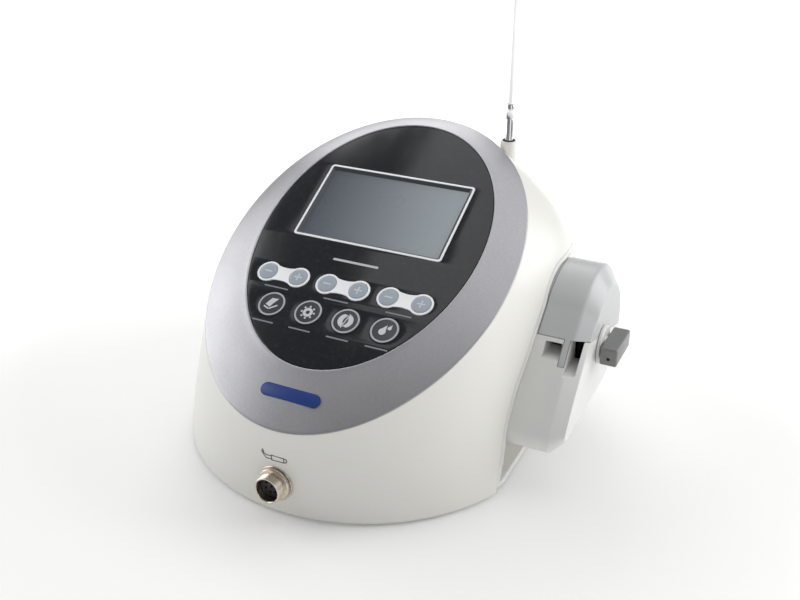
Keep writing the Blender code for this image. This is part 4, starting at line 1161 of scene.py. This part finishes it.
def make_pump_cover():
    """Grey upper half that swings back on the hinge, with its tube clamp tab."""
    cover = loft("pump_lid", pump_sections(0, COVER_INNER_X, PUMP_OUTER_X))
    cut(cover, half_space(False))
    inner = pump_sections(COVER_WALL, COVER_INNER_X + COVER_WALL, PUMP_OUTER_X - COVER_WALL, soft=False)
    cut(cover, loft("hollow", inner))
    cut(cover, cover_tab(), "UNION")
    for start, end in ((105.6, 110.4), (119.6, 124.4)):
        cut(cover, knuckle("relief", start, end, 0.5))
    cut(cover, knuckle("knuckle", 110.5, 119.5), "UNION")
    cut(cover, hinge_web("web", 110.5, 119.5, 2.9), "UNION")
    cut(cover, pin_hole())
    piece(cover, "pump_grey", "cover", ["pump_cover"], weighted=True)


def make_pump_drive():
    """Rotor with three free rollers between its flanges, its shaft and the hinge pin."""
    low, high = box_mm("pump_rotor")
    start, width = low.x, high.x - low.x
    bore, hub, rim, flange = 3.3, 6.5, 19.5, 2.5
    profile = [(bore, width), (rim - 0.5, width), (rim, width - 0.5), (rim, width - flange),
               (hub, width - flange), (hub, flange), (rim, flange), (rim, 0.5), (rim - 0.5, 0), (bore, 0)]
    rotor = lathe("rotor", profile, (start, ROTOR_Y, ROTOR_Z), (1, 0, 0), 96, ring=True)
    boxes = [box_mm("roller_%d" % number) for number in (1, 2, 3)]
    spots = [((low.y + high.y) / 2, (low.z + high.z) / 2) for low, high in boxes]
    for y, z in spots:
        cut(rotor, x_rod("pin", 1.5, start + 0.5, start + width - 0.5, y, z, 24), "UNION")
    piece(rotor, "black_plastic", "rotor", ["pump_rotor"])
    for number, ((low, high), (y, z)) in enumerate(zip(boxes, spots), 1):
        length = high.x - low.x
        tube = [(1.8, 0.3), (2.1, 0), (5.5, 0), (6.0, 0.5), (6.0, length - 0.5), (5.5, length), (2.1, length),
                (1.8, length - 0.3)]
        roller = lathe("tube_roller_%d" % number, tube, (low.x, y, z), (1, 0, 0), 56, ring=True)
        piece(roller, "roller_white", "roller_%d" % number, ["roller_%d" % number])
    steel_bar("drive_shaft", "pump_shaft", "rotor", 3.0, 0.4, (ROTOR_Y, ROTOR_Z), 48)
    steel_bar("cover_pin", "hinge_pin", "console", HINGE_PIN_RADIUS, 0.3, (HINGE_Y, HINGE_Z), 32)


def steel_bar(name, node, body, radius, chamfer, spot, steps):
    """Round bar along X, as long as its CAD node."""
    low, high = box_mm(node)
    profile = bar_profile(radius, 0, high.x - low.x, chamfer, chamfer)
    piece(lathe(name, profile, (low.x, *spot), (1, 0, 0), steps), "steel", body, [node])


def make_latch():
    """Turning latch: a thin disc, a short neck and a bar handle with a dimple."""
    start = PUMP_OUTER_X + 0.3
    radius = LATCH_RADIUS
    thick, length, height = LATCH_BAR
    profile = [(0, 3.2), (4.5, 3.2), (5.2, 2.2), (radius - 0.7, 2.0), (radius - 0.15, 1.6), (radius, 1.0),
               (radius, 0), (0, 0)]
    disc = lathe("latch_disc", profile, (start, LATCH_Y, LATCH_Z), (1, 0, 0), 80)
    piece(disc, "pump_white", "latch")
    start += 3.0
    bar = block("latch_bar", (start, LATCH_Y - length / 2, LATCH_Z - height / 2),
                (start + thick, LATCH_Y + length / 2, LATCH_Z + height / 2), 1.2, 3)
    end = (start + thick / 2, LATCH_Y - length / 2 - 1, LATCH_Z - 1.0)
    cut(bar, rod("dimple", 1.0, 0, 4, end, (0, 1, 0), 24))
    piece(bar, "knob_grey", "latch", ["cover_latch"])


# ------------------------------------------------------------- pole

def make_pole():
    """Drip pole: collar with a dark ring at its top as painted shade of the gap round the tube, lower tube,
    rod and a double hook for a bag.
    """
    low, high = box_mm("pole_socket")
    floor, top = low.z + 4, high.z
    seat = [(0, floor), (2.9, floor), (2.9, top - 0.4), (3.3, top), (4.6, top), (5.2, top - 0.8),
            (5.2, low.z), (0, low.z)]
    piece(lathe("pole_collar", seat, POLE_PLACE), "white_abs", "console", ["pole_socket"])
    # Dark rubber ring at the collar's top: painted shade of the gap between collar and tube.
    shade_ring = [(2.75, top - 0.9), (3.9, top - 0.9), (3.9, top + 0.35), (3.6, top + 0.6), (3.0, top + 0.6),
            (2.75, top + 0.35)]
    piece(lathe("pole_shade_ring", shade_ring, POLE_PLACE, steps=48, ring=True), "rubber", "console")
    low, high = box_mm("pole_tube")
    floor, top = low.z + 3, high.z
    tube = [(0, floor), (1.9, floor), (1.9, top - 0.2), (2.1, top), (2.35, top), (2.6, top - 0.4),
            (2.6, top - 9), (2.45, top - 9.3), (2.6, top - 9.6), (2.6, low.z), (0, low.z)]
    piece(lathe("pole_lower_tube", tube, POLE_PLACE), "steel", "pole_lower", ["pole_tube"])
    profile = bar_profile(1.6, box_mm("pole_rod")[0].z, ROD_TOP_Z, 0.3, 0.4)
    piece(lathe("pole_upper_rod", profile, POLE_PLACE, steps=48), "steel", "pole_upper", ["pole_rod"])
    curve = bpy.data.curves.new("bag_hook", "CURVE")
    curve.dimensions = "3D"
    curve.bevel_depth = 1.3 * MM
    curve.bevel_resolution = 6
    curve.use_fill_caps = True
    left = arc((-20, 0), 6, 150, 270, 16)
    right = [(-x, z) for x, z in reversed(left)]
    route = left + [(-15, -6), (-10, -5.6), (-5, -4.5), (0, -4), (5, -4.5), (10, -5.6), (15, -6)] + right
    add_line(curve, [(POLE_X + x, POLE_Y, ROD_TOP_Z + 2.6 + z) for x, z in route], False)
    hook = new_object("bag_hook_wire", curve_mesh("bag_hook", curve))
    piece(hook, "steel", "pole_upper", sharp=60)


# ------------------------------------------------------------- studio

# Metres and watts; the glow's strength at its two reaches from the object
FLOOR_SIZE = 40.0
FLOOR_GLOW = (0.10, 0.85)
FLOOR_GLOW_REACH = (0.25, 1.1)
WORLD_STRENGTH = 0.24

# Name, place, the point it faces, size and power
LIGHTS = (
    ("overhead", (0.30, 0.45, 1.35), (0.30, 0.45, 0), (1.7, 1.4), 7.4),
    ("left_window", (-1.2, -0.15, 0.60), (0, 0, 0.1), (1.1, 1.1), 9.5),
    ("right_window", (1.05, 0.70, 0.62), (0.1, 0, 0.1), (0.9, 0.9), 10.0),
    ("back_window", (-0.75, 1.20, 1.05), (0, 0, 0.15), (1.2, 0.9), 8),
    ("front_fill", (0.95, -0.90, 0.55), (0.1, 0, 0.1), (0.8, 0.8), 2.0),
)


def make_floor():
    """Pale floor under the feet that glows towards its far edge."""
    mesh = bpy.data.meshes.new("floor")
    size, level = FLOOR_SIZE, box_mm("foot_1")[0].z * MM
    corners = [(-size, -size, level), (size, -size, level), (size, size, level), (-size, size, level)]
    mesh.from_pydata(corners, [], [(0, 1, 2, 3)])
    made = Nodes("studio_floor")
    made.colour(made.noise(3.0, 2.0), (0.87, 0.87, 0.865), (0.885, 0.885, 0.88))
    distance = made.node("ShaderNodeVectorMath", operation="LENGTH")
    made.link(made.place, distance.inputs[0])
    made.feed(made.remap(distance.outputs["Value"], *FLOOR_GLOW, *FLOOR_GLOW_REACH), "Emission Strength")
    made.set(Roughness=0.6, Specular_IOR_Level=0.2, Emission_Color=(1.0, 1.0, 1.0, 1.0))
    mesh.materials.append(made.material)
    new_object("floor", mesh)


def area_light(name, place, target, size, power):
    light = bpy.data.lights.new(name, "AREA")
    light.shape = "RECTANGLE"
    light.size, light.size_y = size
    light.energy = power
    item = new_object(name, light)
    item.location = place
    item.rotation_euler = (Vector(target) - Vector(place)).to_track_quat("-Z", "Y").to_euler()


def make_studio():
    make_floor()
    world = bpy.data.worlds.new("studio")
    bpy.context.scene.world = world
    world.use_nodes = True
    sky = world.node_tree.nodes["Background"]
    sky.inputs["Color"].default_value = (1.0, 1.0, 1.0, 1.0)
    sky.inputs["Strength"].default_value = WORLD_STRENGTH
    for light in LIGHTS:
        area_light(*light)
    bpy.context.scene.view_settings.view_transform = "Standard"


CAMERA_PLACE = (0.2535, -0.4963, 0.3522)
CAMERA_AZIMUTH = 26.07
CAMERA_DOWN = 26.85
CAMERA_LENS = 45.2


def make_camera():
    camera = bpy.data.cameras.new("camera")
    camera.lens = CAMERA_LENS
    camera.sensor_width = 36.0
    camera.clip_start, camera.clip_end = 0.01, 50.0
    item = new_object("camera", camera)
    item.location = CAMERA_PLACE
    item.rotation_euler = (math.radians(90 - CAMERA_DOWN), 0, math.radians(CAMERA_AZIMUTH))
    bpy.context.scene.camera = item


def main():
    make_camera()
    dress_frame()
    for make in (make_shell, make_bay, make_underside, make_ring, make_ring_mark, make_face, make_display,
                 make_rockers, make_round_keys, make_socket, make_pictogram, make_pump_housing,
                 make_pump_bracket, make_pump_cover, make_pump_drive, make_latch, make_pole, make_studio):
        make()


main()
